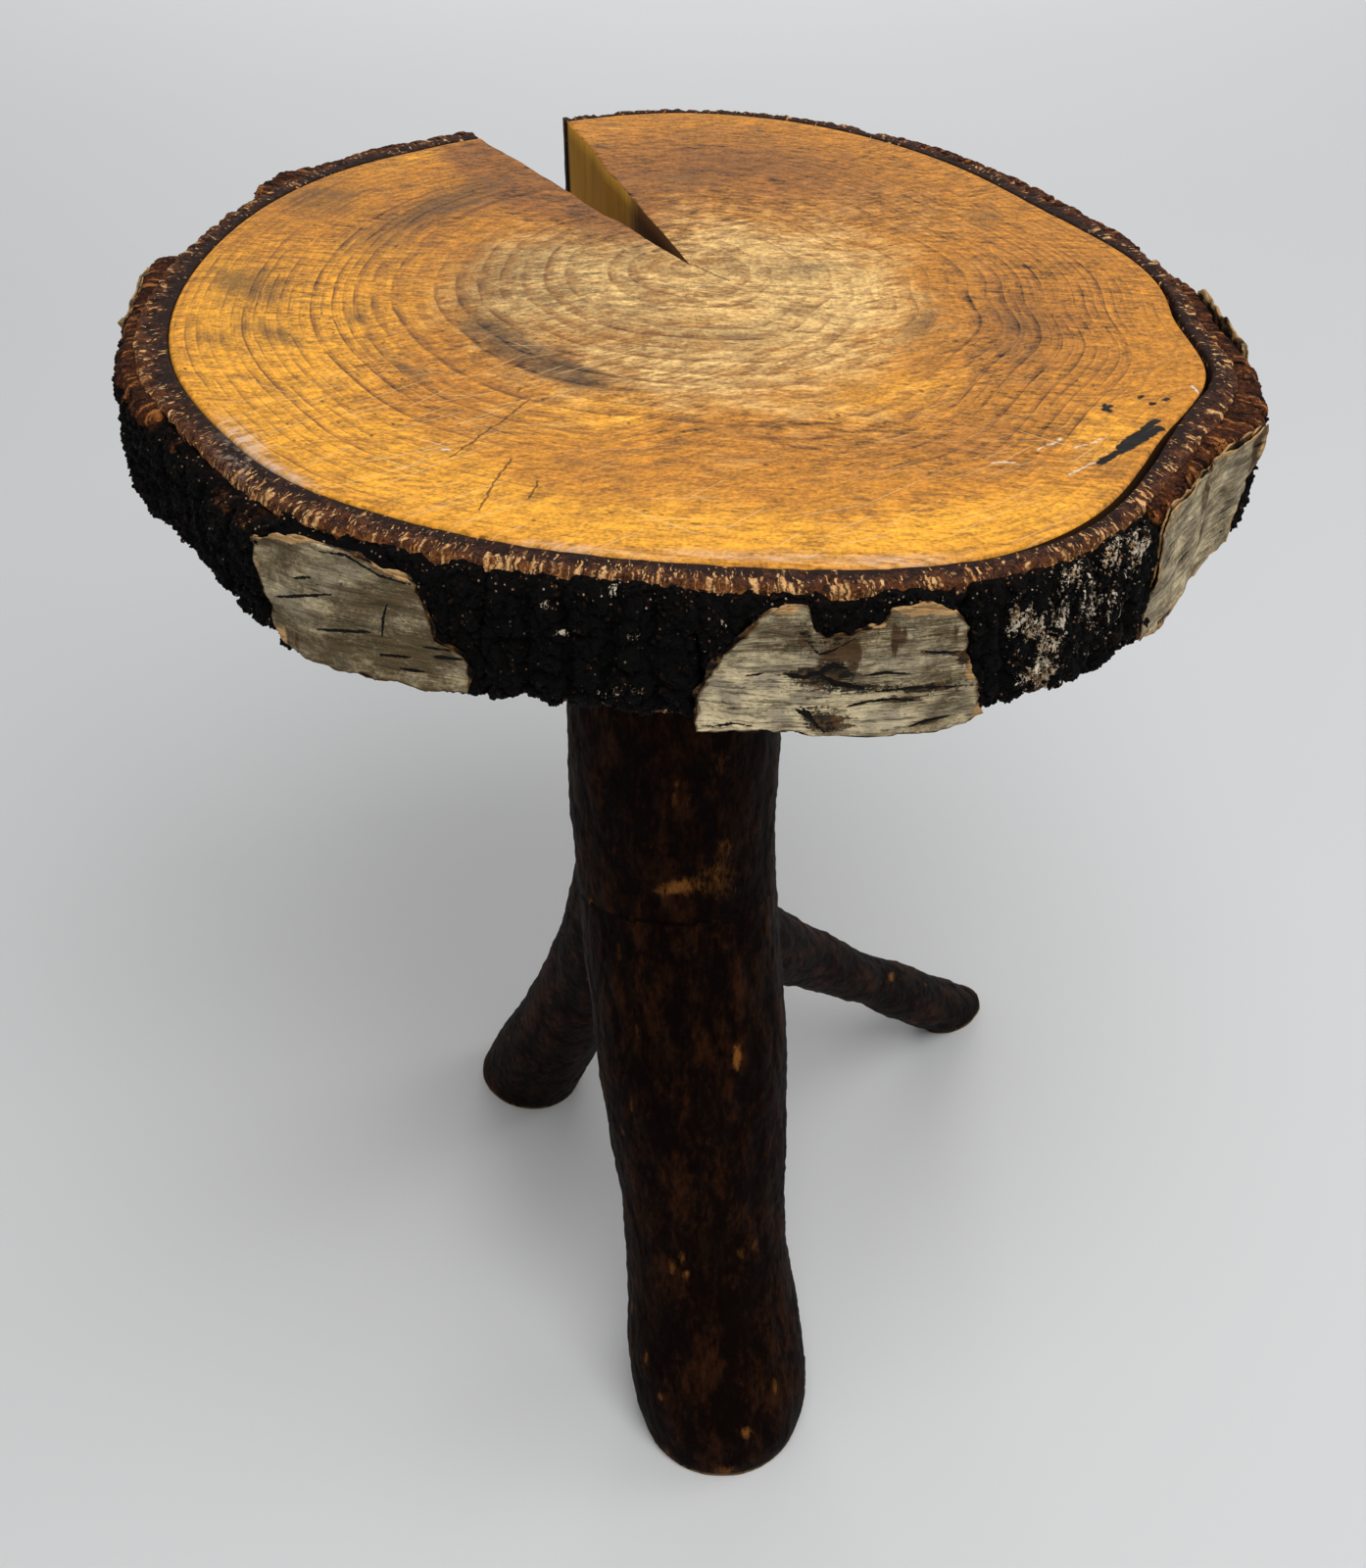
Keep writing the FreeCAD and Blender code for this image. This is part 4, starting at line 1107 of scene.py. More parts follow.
def ring_shape(look):
    """Loops of the inner bark: a crumbly ridged top that falls outwards, a rough outside and a gap."""
    columns, side_rows, under_rows = 1900, 17, 4
    fit, clear, brink = 0.0002, 0.0004, 0.0006
    fall, lip_fall = 0.0013, 0.0026
    crumb, ridge, lean, pit = 0.0007, 0.0007, 0.0012, 0.0026
    start, end = plate_span("inner_bark_ring")[:2]
    angles = np.linspace(start, end, columns)
    arc = np.radians(angles) * RING_REACH
    gap = fit + look.shrinkage * (0.75 * arc_window(angles, 340, 365, 6) + arc_window(angles, 303, 332, 7))
    inner = wood_radius(angles) + gap
    outer = bark_radius(angles) + brink * along_line(arc, 0.006, 2, 4)
    across = np.r_[np.linspace(0, 0.9, 21), 0.94, 0.97, 0.99, 1.0]
    radii = inner[:, None] + (outer - inner)[:, None] * across
    sag = 1 + 0.6 * along_line(arc, 0.03, 21, 2)[:, None]
    level = 1 - 0.8 * arc_window(angles, 0, 200, 14)[:, None]
    drop = level * sag * (fall * across**2 + lip_fall * ease(across, 0.8, 1) ** 2)
    drop = fit + drop + brink * (1 - ease(across, 0, 0.1))
    turn = np.radians(angles)[:, None]
    spread = fanned(radii, turn, 0 * radii).reshape(-1, 3)
    crumbs = (crumb * rough(spread, 0.004, 3, 7)).reshape(radii.shape) * (0.3 + across)
    leaning = arc[:, None] + lean * rough(spread, 0.006, 2, 31).reshape(radii.shape)
    ridges = ridge * along_line(leaning, 0.0019, 9, 2) * ease(across, 0.25, 0.6)
    top = np.minimum(TOP - drop + crumbs + ridges, TOP - 0.0001)
    down = np.linspace(0, 1, side_rows + 1)[1:]
    side_z = top[:, -1:] * (1 - down) + (UNDERSIDE + clear) * down
    side_r = np.repeat(outer[:, None], side_rows, axis=1)
    walls = fanned(side_r, turn, side_z).reshape(-1, 3)
    side_r = side_r - pit * np.abs(rough(walls * (1, 1, 0.5), 0.006, 4, 11)).reshape(side_r.shape)
    back = np.linspace(0, 1, under_rows + 1)[1:]
    under_r = side_r[:, -1:] * (1 - back) + inner[:, None] * back
    under_z = np.full_like(under_r, UNDERSIDE + clear)
    rise = back[:-1]
    in_r = np.repeat(inner[:, None], len(rise), axis=1)
    in_z = under_z[:, -1:] * (1 - rise) + top[:, :1] * rise
    return fanned(np.hstack([radii, side_r, under_r, in_r]), turn, np.hstack([top, side_z, under_z, in_z]))


class TRUNK_OT_inner_bark(bpy.types.Operator):
    """Build the dark ring of inner bark round the wood"""

    bl_idname = "trunk.inner_bark"
    bl_label = "Inner Bark"

    def execute(self, context):
        sawn_depth, skin_depth = (0.005, 0.011), (0.002, 0.008)
        look = context.scene.trunk_bark
        piece = new_piece("inner_bark", *swept(ring_shape(look)), inner_bark(look))
        points = points_of(piece.data)
        angles, radii = polar(points)
        wood, bark = wood_radius(angles), bark_radius(angles)
        across, below = (radii - wood) / (bark - wood), TOP - points[:, 2]
        fleck = 0.35 + sum(share * arc_window(angles, *arc) for *arc, share in FLECKED_ARCS)
        outside = ease(across, 0.15, 0.3) * (points[:, 2] > UNDERSIDE + 0.001)
        along = np.radians(past_check(angles, SEAM_LEAD)) * RING_REACH
        paint(piece, along=along, across=np.clip(across, 0, 1),
              inward=bark - radii + below, fleck=np.clip(fleck, 0, 1) * (1 - 0.9 * ease(below, *sawn_depth)),
              skin=outside * ease(below, *skin_depth),
              bloom=np.clip(near_blots(photo_px(points), BARK_HIGHLIGHT_CLOUDS), 0, 1))
        place(piece, "inner_bark", "inner_bark_ring")
        return {"FINISHED"}


def in_outline(points, outline):
    """True for the points of a plane that lie inside a closed outline."""
    inside = np.zeros(len(points), bool)
    for (ax, ay), (bx, by) in zip(outline, np.roll(outline, -1, axis=0)):
        crosses = (ay > points[:, 1]) != (by > points[:, 1])
        at = ax + (points[:, 1] - ay) / (by - ay if by != ay else 1e-12) * (bx - ax)
        inside ^= crosses & (points[:, 0] < at)
    return inside


def plate_face(name, angles, heights):
    """Radius of a CAD plate's furrowed outside at a grid of angles and heights, found by level rays."""
    outside = 0.3
    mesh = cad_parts[name].data
    tree = BVHTree.FromPolygons([v.co for v in mesh.vertices], [p.vertices for p in mesh.polygons])
    radii = np.empty(heights.shape)
    for i, j in np.ndindex(heights.shape):
        turn = math.radians(angles[i, j])
        out = Vector((math.cos(turn), math.sin(turn), 0))
        hit = tree.ray_cast(out * outside + Vector((0, 0, heights[i, j])), -out)[0]
        radii[i, j] = hit.xy.length if hit else 0
    return np.maximum(radii, bark_radius(angles))


def cork_loops(name, seed):
    """Loops of a plate of cork: its solid's furrows, made to wander, and rounded, ragged edges."""
    column, rows, back_rows = 0.00055, 92, 4
    end_round, end_wander, end_reach = 0.003, 0.0028, 0.005
    foot_rag, head_rag, sawn_rag = 0.0022, 0.0026, 0.0018
    sway, heave, seat, inset = 0.0028, 0.0026, 0.0012, 0.0004
    start, end, foot, head = plate_span(name)
    angles = np.linspace(start, end, int(rim_run(end - start) / column))
    arc = rim_run(angles)
    from_ends = np.stack([arc - arc[0], arc[-1] - arc])
    ends = np.clip(from_ends.min(axis=0) / end_round, 0, 1)
    flush = SAWN.get(name, 0)
    least = 0.25 + 0.4 * flush
    fullness = (least + (1 - least) * np.sqrt(1 - (1 - ends) ** 2))[:, None]
    low = np.maximum(foot + foot_rag * along_line(arc, 0.012, seed, 4) + inset, UNDERSIDE + 0.0003)
    worn = (head_rag - sawn_rag * flush) * np.abs(along_line(arc, 0.009, seed + 40, 4))
    high = head - worn - 0.0006 + inset * flush
    share = 0.5 - 0.5 * np.cos(math.pi * np.linspace(0, 1, rows))
    profile = (1 - np.abs(2 * share - 1) ** np.where(share > 0.5, 9 + 40 * flush, 9)) ** 0.4
    z = low[:, None] * (1 - share) + high[:, None] * share
    flat = np.c_[np.repeat(arc, rows), z.ravel(), np.full(z.size, 0.1 * seed)]
    swayed = angles[:, None] + np.degrees(sway / RIM_REACH) * rough(flat, 0.014, 3, 15).reshape(z.shape)
    heaved = z + heave * rough(flat, 0.011, 3, 17).reshape(z.shape)
    swayed, heaved = np.clip(swayed, start + 0.2, end - 0.2), np.clip(heaved, foot + inset, head - inset)
    face = plate_face(name, swayed, heaved)
    for axis in (0, 1, 0, 1):
        face = (face + np.roll(face, 1, axis) + np.roll(face, -1, axis)) / 3
    face = face + proud(angles[:, None], z)
    inner = (bark_radius(angles) - seat)[:, None]
    radii = inner + (face - inner) * profile * fullness
    back = np.linspace(1, 0, back_rows + 2)[1:-1]
    z = np.hstack([z, z[:, :1] * (1 - back) + z[:, -1:] * back])
    radii = np.hstack([radii, np.repeat(inner, back_rows, axis=1)])
    wander = end_wander * np.stack([along_line(z, 0.012, seed + 70, 4), along_line(z, 0.012, seed + 90, 4)])
    shift = (np.exp(-from_ends / end_reach)[:, :, None] * wander).sum(axis=0)
    return fanned(radii, np.radians(angles)[:, None] + shift / RIM_REACH, z)


def crumble_tree():
    """Geometry tree that breaks a surface into lumps with fissures between, and keeps the relief."""
    inputs = dict.fromkeys(("Relief", "Lump", "Tall", "Fissures"), "Float")
    tree, wires, ids = shape_tree("bark_crumble", **inputs)
    w = wires["Geometry"]
    squat = w.node("ShaderNodeCombineXYZ", None, {0: 1.0, 1: 1.0, 2: 1 / wires["Tall"]})
    grid = scaled(grown(kept_value(w, "grain_at", "FLOAT_VECTOR"), 1 / wires["Lump"]), squat)
    grid = vector_math("MULTIPLY_ADD", noise(grid, 1.1, 3, out=1), (0.9, 0.9, 0.9), grid)
    fissure = 1 - step(cells(grid, 1.0, "DISTANCE_TO_EDGE"), 0.0, 0.2)
    small = 1 - step(cells(grid, 0.36, "DISTANCE_TO_EDGE"), 0.0, 0.12)
    knobs = 1 - step(cells(grid, 0.2), 0.05, 0.75)
    cracks = wires["Fissures"] * (fissure * 0.75 + small * 0.3)
    height = noise(grid, 1.6, 4, 0.65) * 1.2 + knobs * 0.34 - cracks - 0.4
    offset = grown(w.node("GeometryNodeInputNormal"), height * kept_value(w, "free") * wires["Relief"])
    shaped = w.node("GeometryNodeSetPosition", None, {"Geometry": w, "Offset": offset})
    # The kept height lightens the tops and darkens the fissures in the bark finishes: painted light and
    # painted shade.
    kept = w.node("GeometryNodeStoreNamedAttribute", {"data_type": "FLOAT", "domain": "POINT"},
                  {"Geometry": shaped, "Name": "height", "Value": height})
    close_tree(kept, wires["Material"])
    return tree, ids


def crumb_tree():
    """Geometry tree that strews small angular crumbs of cork over the free places of a surface."""
    full_turn = (6.28, 6.28, 6.28)
    inputs = dict.fromkeys(("Density", "Smallest", "Largest"), "Float")
    tree, wires, ids = shape_tree("bark_crumbs", **inputs, Seed="Int")
    w, seed, small, large = (wires[label] for label in ("Geometry", "Seed", "Smallest", "Largest"))
    dense = wires["Density"] * step(kept_value(w, "free"), 0.55, 1.0)
    points = w.node("GeometryNodeDistributePointsOnFaces", None, {"Mesh": w, "Density": dense, "Seed": seed})
    ball = w.node("GeometryNodeMeshIcoSphere", None, {"Radius": 1.0, "Subdivisions": 1})
    least = w.node("ShaderNodeCombineXYZ", None, {0: small, 1: small, 2: small * 0.5})
    most = w.node("ShaderNodeCombineXYZ", None, {0: large, 1: large, 2: large * 0.6})
    ranges = ((least, most), ((0, 0, 0), full_turn))
    size, spin = (w.node("FunctionNodeRandomValue", {"data_type": "FLOAT_VECTOR"},
                         {"Min": low, "Max": high, "Seed": seed}) for low, high in ranges)
    crumbs = w.node("GeometryNodeInstanceOnPoints", None,
                    {"Points": points, "Instance": ball, "Rotation": spin, "Scale": size})
    tone = w.node("FunctionNodeRandomValue", {"data_type": "FLOAT"}, {2: -0.6, 3: 1.0, "Seed": seed}, out=1)
    toned = w.node("GeometryNodeStoreNamedAttribute", {"data_type": "FLOAT", "domain": "INSTANCE"},
                   {"Geometry": crumbs, "Name": "height", "Value": tone})
    close_tree(w.node("GeometryNodeJoinGeometry", None, {0: [w, toned]}), wires["Material"])
    return tree, ids


# How far the head of each plate shows its sawn red-brown face.
SAWN = {
    "cork_plate_left": 1.0, "cork_plate_back_left": 1.0, "cork_plate_back": 1.0, "cork_plate_back_right": 1.0,
    "cork_plate_right_rear": 1.0, "cork_plate_left_front": 0.35, "cork_plate_right": 0.8,
}
# Pale flakes on the cork, as clouds of photo pixels.
FLAKES = [
    (1090, 628, 66, 52, -30, 0.62), (1064, 690, 14, 16, 0, 0.9), (1160, 562, 11, 26, 14, 1.3),
    (1135, 562, 8, 22, 15, 1.2), (1098, 585, 16, 11, -10, 0.9), (1037, 630, 10, 17, 0, 1.1),
    (1056, 638, 9, 11, 0, 0.9), (1068, 664, 10, 24, -10, 1.0), (1042, 688, 11, 15, 0, 0.8),
    (1060, 693, 8, 7, 0, 1.1), (1114, 615, 5, 16, 0, 0.8), (1135, 610, 3, 26, 8, 0.8),
    (628, 602, 12, 8, 0, 0.8), (556, 620, 10, 12, 0, 0.8), (640, 708, 26, 8, 0, 0.9),
    (575, 645, 14, 4, 0, 0.7), (645, 650, 10, 6, 0, 0.7), (735, 640, 6, 20, 0, 0.8),
    (455, 575, 14, 5, 10, 0.7), (150, 395, 5, 18, 0, 0.6), (260, 560, 6, 16, 0, 0.5),
]


def paint_cork(piece, name, seed):
    """Press a plate in under its white sheet, and keep what its relief and its finish need as values."""
    pressed, covered_share, lip_depth = 0.0011, 0.3, (0.008, 0.001)
    points = points_of(piece.data)
    angles, radii = polar(points)
    depth = radii - bark_radius(angles)
    free = ease(depth, -0.0008, 0.0014)
    sheet = sheet_outline(name.replace("cork_plate", "white_bark"))
    if sheet is not None:
        covered = in_outline(np.c_[rim_run(near_angles(angles, sheet)), points[:, 2]], sheet)
        free = np.where(covered, covered_share * free, free)
        thinner = np.where(covered & (depth > 0.001), pressed, 0)
        points[:, :2] *= ((radii - thinner) / radii)[:, None]
        move_points(piece, points)
    lip = ease(points[:, 2], *(points[:, 2].max() - depth for depth in lip_depth))
    in_front = np.sin(np.radians(angles)) < 0.2
    paint(piece, free=free * (1 - 0.75 * SAWN.get(name, 0) * lip), grain_at=points + 0.37 * seed, lip=lip,
          sawn=np.full(len(points), SAWN.get(name, 0.25)), deep=depth,
          flaked=near_blots(photo_px(points), FLAKES) * in_front,
          along=rim_run(past_check(angles, SEAM_LEAD)))


class TRUNK_OT_cork_plates(bpy.types.Operator):
    """Build the plates of black corky bark round the rim"""

    bl_idname = "trunk.cork_plates"
    bl_label = "Cork Plates"

    def execute(self, context):
        look = context.scene.trunk_bark
        material = cork_bark(look)
        crumble, strew = crumble_tree(), crumb_tree()
        lumped = {"Relief": look.relief, "Lump": look.lump, "Tall": 1.3, "Fissures": 1.0}
        strewn = {"Density": look.crumbs, "Smallest": 0.0004, "Largest": look.crumb}
        for seed, name in enumerate(PLATES):
            piece = new_piece(name.replace("cork_plate", "cork"), *swept(cork_loops(name, seed)), material)
            paint_cork(piece, name, seed)
            run_tree(piece, *crumble, {**lumped, "Material": material})
            run_tree(piece, *strew, {**strewn, "Seed": seed, "Material": material})
            place(piece, "cork_bark", name)
        return {"FINISHED"}


# Torn outlines of the white sheets that the camera sees: top, right, bottom and left edge in photo pixels.
SHEET_EDGES = {
    "white_bark_front_left": (
        [(258, 546), (285, 545), (336, 552), (369, 563), (395, 580), (424, 597)],
        [(424, 597), (432, 616), (443, 637), (446, 654), (475, 667), (481, 691), (478, 706)],
        [(291, 655), (315, 673), (353, 681), (395, 690), (449, 701), (478, 706)],
        [(258, 546), (262, 569), (279, 612), (281, 633), (291, 655)],
    ),
    "white_bark_front_right": (
        [(787, 622), (824, 618), (830, 641), (843, 653), (862, 648), (884, 641), (905, 634), (911, 619),
         (945, 617), (976, 622)],
        [(976, 622), (985, 640), (986, 656), (978, 665), (986, 672), (995, 690), (996, 706), (990, 712),
         (1002, 726)],
        [(710, 742), (781, 742), (828, 748), (866, 750), (900, 747), (939, 745), (975, 742), (1002, 726)],
        [(787, 622), (762, 638), (742, 662), (725, 682), (713, 705), (710, 742)],
    ),
}
# The others: first and last angle, foot and head as shares of the slab's edge, slant of the ends in degrees.
SHEET_SPANS = {
    "white_bark_left": (168.5, 181.5, 0.12, 0.93, 1.0),
    "white_bark_right": (317.0, 337.0, 0.10, 0.95, 2.2),
    "white_bark_right_rear": (351.5, 365.5, 0.08, 0.95, 0.8),
}
# Two layers of a sheet: growth past the outline, distance from the cork and thickness, in metres.
UNDER_LAYER, PAPER_LAYER = (0.0008, 0.0001, 0.0006), (0.0, 0.0007, 0.0004)


def run_lengths(row):
    """Length from the start of a row of places to each of them."""
    return np.r_[0, np.cumsum(np.linalg.norm(np.diff(row, axis=0), axis=1))]


def resampled(row, count):
    """Points evenly spaced along a row of places."""
    run = run_lengths(row)
    at = np.linspace(0, run[-1], count)
    return np.c_[np.interp(at, run, row[:, 0]), np.interp(at, run, row[:, 1])]


def sheet_edges(name):
    """The four edges of a white sheet as rows of (length round the rim, height)."""
    if name in SHEET_EDGES:
        rows = [[on_rim(*px) for px in row] for row in SHEET_EDGES[name]]
    else:
        start, end, foot, head, slant = SHEET_SPANS[name]
        low, high = (UNDERSIDE + share * (TOP - UNDERSIDE) for share in (foot, head))
        a, b, c, d = (start, high), (end, high), (end - slant, low), (start - slant, low)
        rows = [(a, b), (b, c), (d, c), (a, d)]
    return [np.array([(rim_run(angle), z) for angle, z in row]) for row in rows]


def sheet_outline(name):
    """Closed outline of a white sheet, or None where the plate carries none."""
    if name not in SHEET_EDGES and name not in SHEET_SPANS:
        return None
    top, right, bottom, left = sheet_edges(name)
    return np.concatenate([top, right[1:], bottom[::-1][1:], left[::-1][1:-1]])


def near_angles(angles, outline):
    """Angles moved by whole turns to lie next to an outline."""
    middle = math.degrees(outline[:, 0].mean() / RIM_REACH)
    return middle + (angles - middle + 180) % 360 - 180


def sheet_patch(name, seed, grow):
    """A grid of places over a white sheet with torn edges, and the distance of each from the edge."""
    pitch, corner, tear = 0.00042, 0.003, 0.0012
    top, right, bottom, left = sheet_edges(name)
    breadth, rise = (np.linalg.norm(row[-1] - row[0]) for row in (top, left))
    wide, tall = int(breadth / pitch) + 2, int(rise / pitch) + 2
    top, bottom = resampled(top, wide), resampled(bottom, wide)
    left, right = resampled(left, tall)[::-1], resampled(right, tall)[::-1]
    for i, row in enumerate((top, bottom, left, right)):
        run = run_lengths(row)
        fade = ease(np.minimum(run, run[-1] - run), 0, corner)
        torn = tear * along_line(run, 0.007, seed + i, 5)
        torn = torn + grow * (0.4 + 1.6 * along_line(run, 0.009, seed + 50 + i, 3))
        row[:, 0 if i > 1 else 1] += fade * torn * (1, -1, -1, 1)[i]
    u = np.linspace(0, 1, wide)[None, :, None]
    v = np.linspace(0, 1, tall)[:, None, None]
    sides = (1 - v) * bottom[None] + v * top[None] + (1 - u) * left[:, None] + u * right[:, None]
    corners = (1 - u) * (1 - v) * bottom[0] + u * (1 - v) * bottom[-1]
    corners = corners + (1 - u) * v * top[0] + u * v * top[-1]
    edge = np.minimum(np.minimum(u, 1 - u)[..., 0] * breadth, np.minimum(v, 1 - v)[..., 0] * rise)
    return sides - corners, edge


def sheet_shell(name, seed, wave, grow, stand, thick, curl):
    """Points, faces and distances from the edge of one thin torn layer of bark that stands off the cork."""
    curl_reach, swell, wrinkle = 0.0026, 0.0008, 0.0004
    grid, edge = sheet_patch(name, seed, grow)
    tall, wide = edge.shape
    count = tall * wide
    flat = np.c_[grid.reshape(-1, 2), np.zeros(count)]
    curled = np.clip(0.3 + 1.5 * rough(flat, 0.013, 2, wave + 9), 0, 2)
    lift = curl * np.exp(-edge.ravel() / curl_reach) * curled
    waves = swell * rough(flat, 0.012, 3, wave + 5) + wrinkle * rough(flat * (0.22, 1, 1), 0.003, 3, wave + 6)
    angles = np.degrees(grid[..., 0].ravel() / RIM_REACH)
    z = np.clip(grid[..., 1].ravel(), UNDERSIDE + 0.0002, TOP - 0.0006)
    radii = outer_radius(angles) + proud(angles, z) + stand + lift + waves
    turn = np.radians(angles)
    points = np.concatenate([fanned(radii, turn, z), fanned(radii - thick, turn, z)])
    faces = sheet_faces(tall, wide) + [face[::-1] for face in sheet_faces(tall, wide, first=count)]
    border = np.r_[np.arange(wide), np.arange(2, tall + 1) * wide - 1,
                   np.arange(count - 2, count - wide - 1, -1), np.arange(tall - 2, 0, -1) * wide]
    after = np.roll(border, -1)
    faces += np.stack([border, border + count, after + count, after], axis=1).tolist()
    return points, faces, np.tile(edge.ravel(), 2)


# Marks on the white sheets, as rows of photo pixels: breathing pores and cracks.
PORES = [
    [(281, 609), (338, 607)], [(321, 642), (378, 645)], [(386, 668), (420, 671)], [(441, 670), (474, 673)],
    [(407, 682), (436, 686)], [(300, 590), (318, 589)],
]
SHEET_CRACKS = [
    [(319, 562), (352, 566), (386, 587), (424, 598)], [(395, 615), (391, 632), (390, 650)],
    [(430, 660), (462, 664)], [(824, 655), (836, 668), (850, 664), (872, 652)],
    [(817, 720), (828, 733), (842, 748)], [(938, 664), (960, 666), (984, 665)],
    [(890, 706), (930, 702), (975, 700)], [(861, 722), (885, 716), (910, 713), (939, 715)],
    [(760, 690), (780, 687)], [(927, 742), (945, 735), (970, 730)], [(726, 742), (748, 738), (770, 741)],
    [(880, 690), (905, 686), (930, 688)],
]
DEEP_CRACKS = [
    [(800, 688), (820, 691), (836, 686), (850, 679), (866, 682)], [(836, 687), (850, 697), (884, 703)],
    [(812, 724), (826, 730), (836, 744)],
]
# Scars, drips, pale places and tan torn lips of the sheets, as clouds of photo pixels.
SCARS = [
    (838, 686, 36, 8, -4, 1.2), (852, 698, 40, 7, 0, 0.8), (836, 736, 18, 13, 20, 1.0),
    (726, 740, 14, 3, 0, 0.6), (858, 738, 16, 8, 0, 0.6), (922, 714, 30, 4, -8, 0.75),
    (948, 736, 26, 4, -16, 0.7), (905, 704, 70, 5, -2, 0.55), (984, 672, 9, 9, 0, 0.9),
    (960, 700, 40, 12, 0, 0.3), (852, 654, 20, 7, -12, 0.7), (960, 666, 30, 3, 0, 0.8),
    (820, 650, 8, 12, 0, 0.6),
]
DRIPS = [
    (852, 668, 27, 17, -8, 1.0), (873, 667, 5, 17, 0, 1.1), (913, 656, 4, 16, 0, 1.2),
    (922, 652, 6, 12, 0, 0.8), (818, 652, 9, 16, 0, 0.6), (975, 646, 12, 18, 0, 0.5),
    (842, 736, 24, 16, 0, 0.6), (970, 690, 26, 26, 0, 0.55), (905, 640, 30, 8, 0, 0.4),
    (300, 655, 20, 12, 20, 0.5),
]
PALE = [
    (784, 718, 38, 26, 10, 1.5), (745, 716, 28, 26, 0, 1.1), (890, 735, 40, 10, 0, 0.7),
    (835, 708, 50, 10, 0, 0.5), (890, 648, 110, 26, 0, -0.2), (330, 600, 40, 40, 0, 0.25),
    (400, 660, 50, 20, 10, -0.2),
]
LIPS = [
    (806, 624, 20, 9, 0, 1.3), (943, 622, 36, 9, 0, 1.3), (895, 637, 12, 6, 0, 0.9),
    (300, 549, 46, 7, 5, 0.9), (396, 580, 34, 8, 32, 0.7), (288, 646, 11, 22, 20, 1.1),
    (262, 575, 6, 26, 0, 0.7), (990, 690, 8, 30, 0, 0.8), (1000, 728, 8, 10, 0, 1.0),
    (880, 748, 90, 5, 0, 0.6),
]
# How pale and how striped each sheet is.
PALENESS = {"white_bark_front_left": 0.0, "white_bark_front_right": 0.22, "white_bark_right": 0.25,
            "white_bark_left": 0.3, "white_bark_right_rear": 0.35}
STRIPES = {"white_bark_front_left": 0.35, "white_bark_front_right": 0.7, "white_bark_right": 0.5,
           "white_bark_left": 0.4, "white_bark_right_rear": 0.4}


def sheet_marks(name, points, seed):
    """Cracks, scars, drips, pale places and lips of a sheet, as photographed, or strewn where unseen."""
    if name in SHEET_EDGES:
        px = photo_px(points)
        lines = ((PORES, 2.3), (SHEET_CRACKS, 1.7), (DEEP_CRACKS, 4.2))
        cracks = [drawn(px, rows, width) for rows, width in lines]
        return np.maximum.reduce(cracks), *(near_blots(px, clouds) for clouds in (SCARS, DRIPS, PALE, LIPS))
    count, heights = len(points), points[:, 2]
    level = np.c_[rim_run(past_check(polar(points)[0])) * 0.13, heights, np.full(count, 0.01 * seed)]
    marks = ease(lumps(level, 0.0014, 3), 0.6, 0.78)
    low = 12 * (heights - UNDERSIDE - 0.02)
    scars = 0.9 * ease(rough(points * (0.6, 0.6, 1), 0.014, 3, seed) - low, 0.3, 0.95)
    drips = 0.8 * ease(rough(points * (1, 1, 0.4), 0.012, 2, seed + 3), 0.3, 0.9)
    return marks, scars, drips, np.zeros(count), np.full(count, 0.55)


class TRUNK_OT_white_bark(bpy.types.Operator):
    """Build the torn sheets of pale papery bark"""

    bl_idname = "trunk.white_bark"
    bl_label = "White Bark"

    def execute(self, context):
        # Reach of the painted shade along the torn edges, and of the tan lips, in metres.
        edge_shade, tan = 0.0012, 0.004
        look = context.scene.trunk_bark
        material = white_bark(look)
        for i, name in enumerate([*SHEET_EDGES, *SHEET_SPANS]):
            seed = 60 + 20 * i
            under = sheet_shell(name, seed + 7, seed, *UNDER_LAYER, 0.35 * look.curl)
            paper = sheet_shell(name, seed, seed, *PAPER_LAYER, look.curl)
            shift = len(under[0])
            points = np.concatenate([under[0], paper[0]])
            faces = under[1] + [[shift + corner for corner in face] for face in paper[1]]
            piece = new_piece(name.replace("white_bark", "white"), points, faces, material)
            if len(piece.data.vertices) != len(points):
                raise RuntimeError(f"{name}: the layers of the sheet touch")
            marks, scars, drips, pale, lips = sheet_marks(name, points, seed)
            edge = np.r_[under[2], paper[2]]
            paint(piece, layer=np.arange(len(points)) >= shift, edge=np.exp(-edge / edge_shade),
                  lip=np.clip(lips, 0, 1.2) * np.exp(-edge / tan), mark=marks, scar=np.clip(scars, 0, 1.1),
                  stain=np.clip(drips, 0, 1), bright=PALENESS[name] + pale,
                  striped=np.full(len(points), STRIPES[name]))
            place(piece, "white_bark", name)
        return {"FINISHED"}


# The fork

# Golden rubs on the bark, as clouds of photo pixels.
WORN_PATCHES = [
    (688, 906, 20, 7, -8, 0.9), (720, 900, 46, 34, 0, 0.34), (735, 895, 18, 22, 0, 0.3),
    (740, 860, 10, 14, 0, 0.5), (752, 1078, 5, 14, 0, 1.3), (762, 1462, 7, 7, 0, 1.0),
    (742, 1502, 18, 8, 0, 0.7), (735, 780, 16, 30, 0, 0.4), (690, 800, 10, 6, 0, 0.5),
    (700, 1300, 5, 5, 0, 0.8), (770, 1270, 7, 9, 0, 0.6), (910, 997, 5, 6, 0, 1.0),
    (675, 1425, 5, 6, 0, 0.7),
]

# Middle lines of the limbs, from the fork outwards, and half their widths, in metres.
STEM_TOP, FORK, FRONT_FOOT = (-0.003, -0.004, 0.385), (-0.001, -0.038, 0.215), (0.017, -0.119, 0.0)
LIMBS = (
    (FORK, STEM_TOP, 0.036),
    (FORK, FRONT_FOOT, 0.036),
    ((-0.002, -0.028, 0.265), (-0.0715, 0.073, 0.0), 0.022),
    ((-0.001, -0.042, 0.204), (0.133, 0.116, 0.0), 0.014),
)


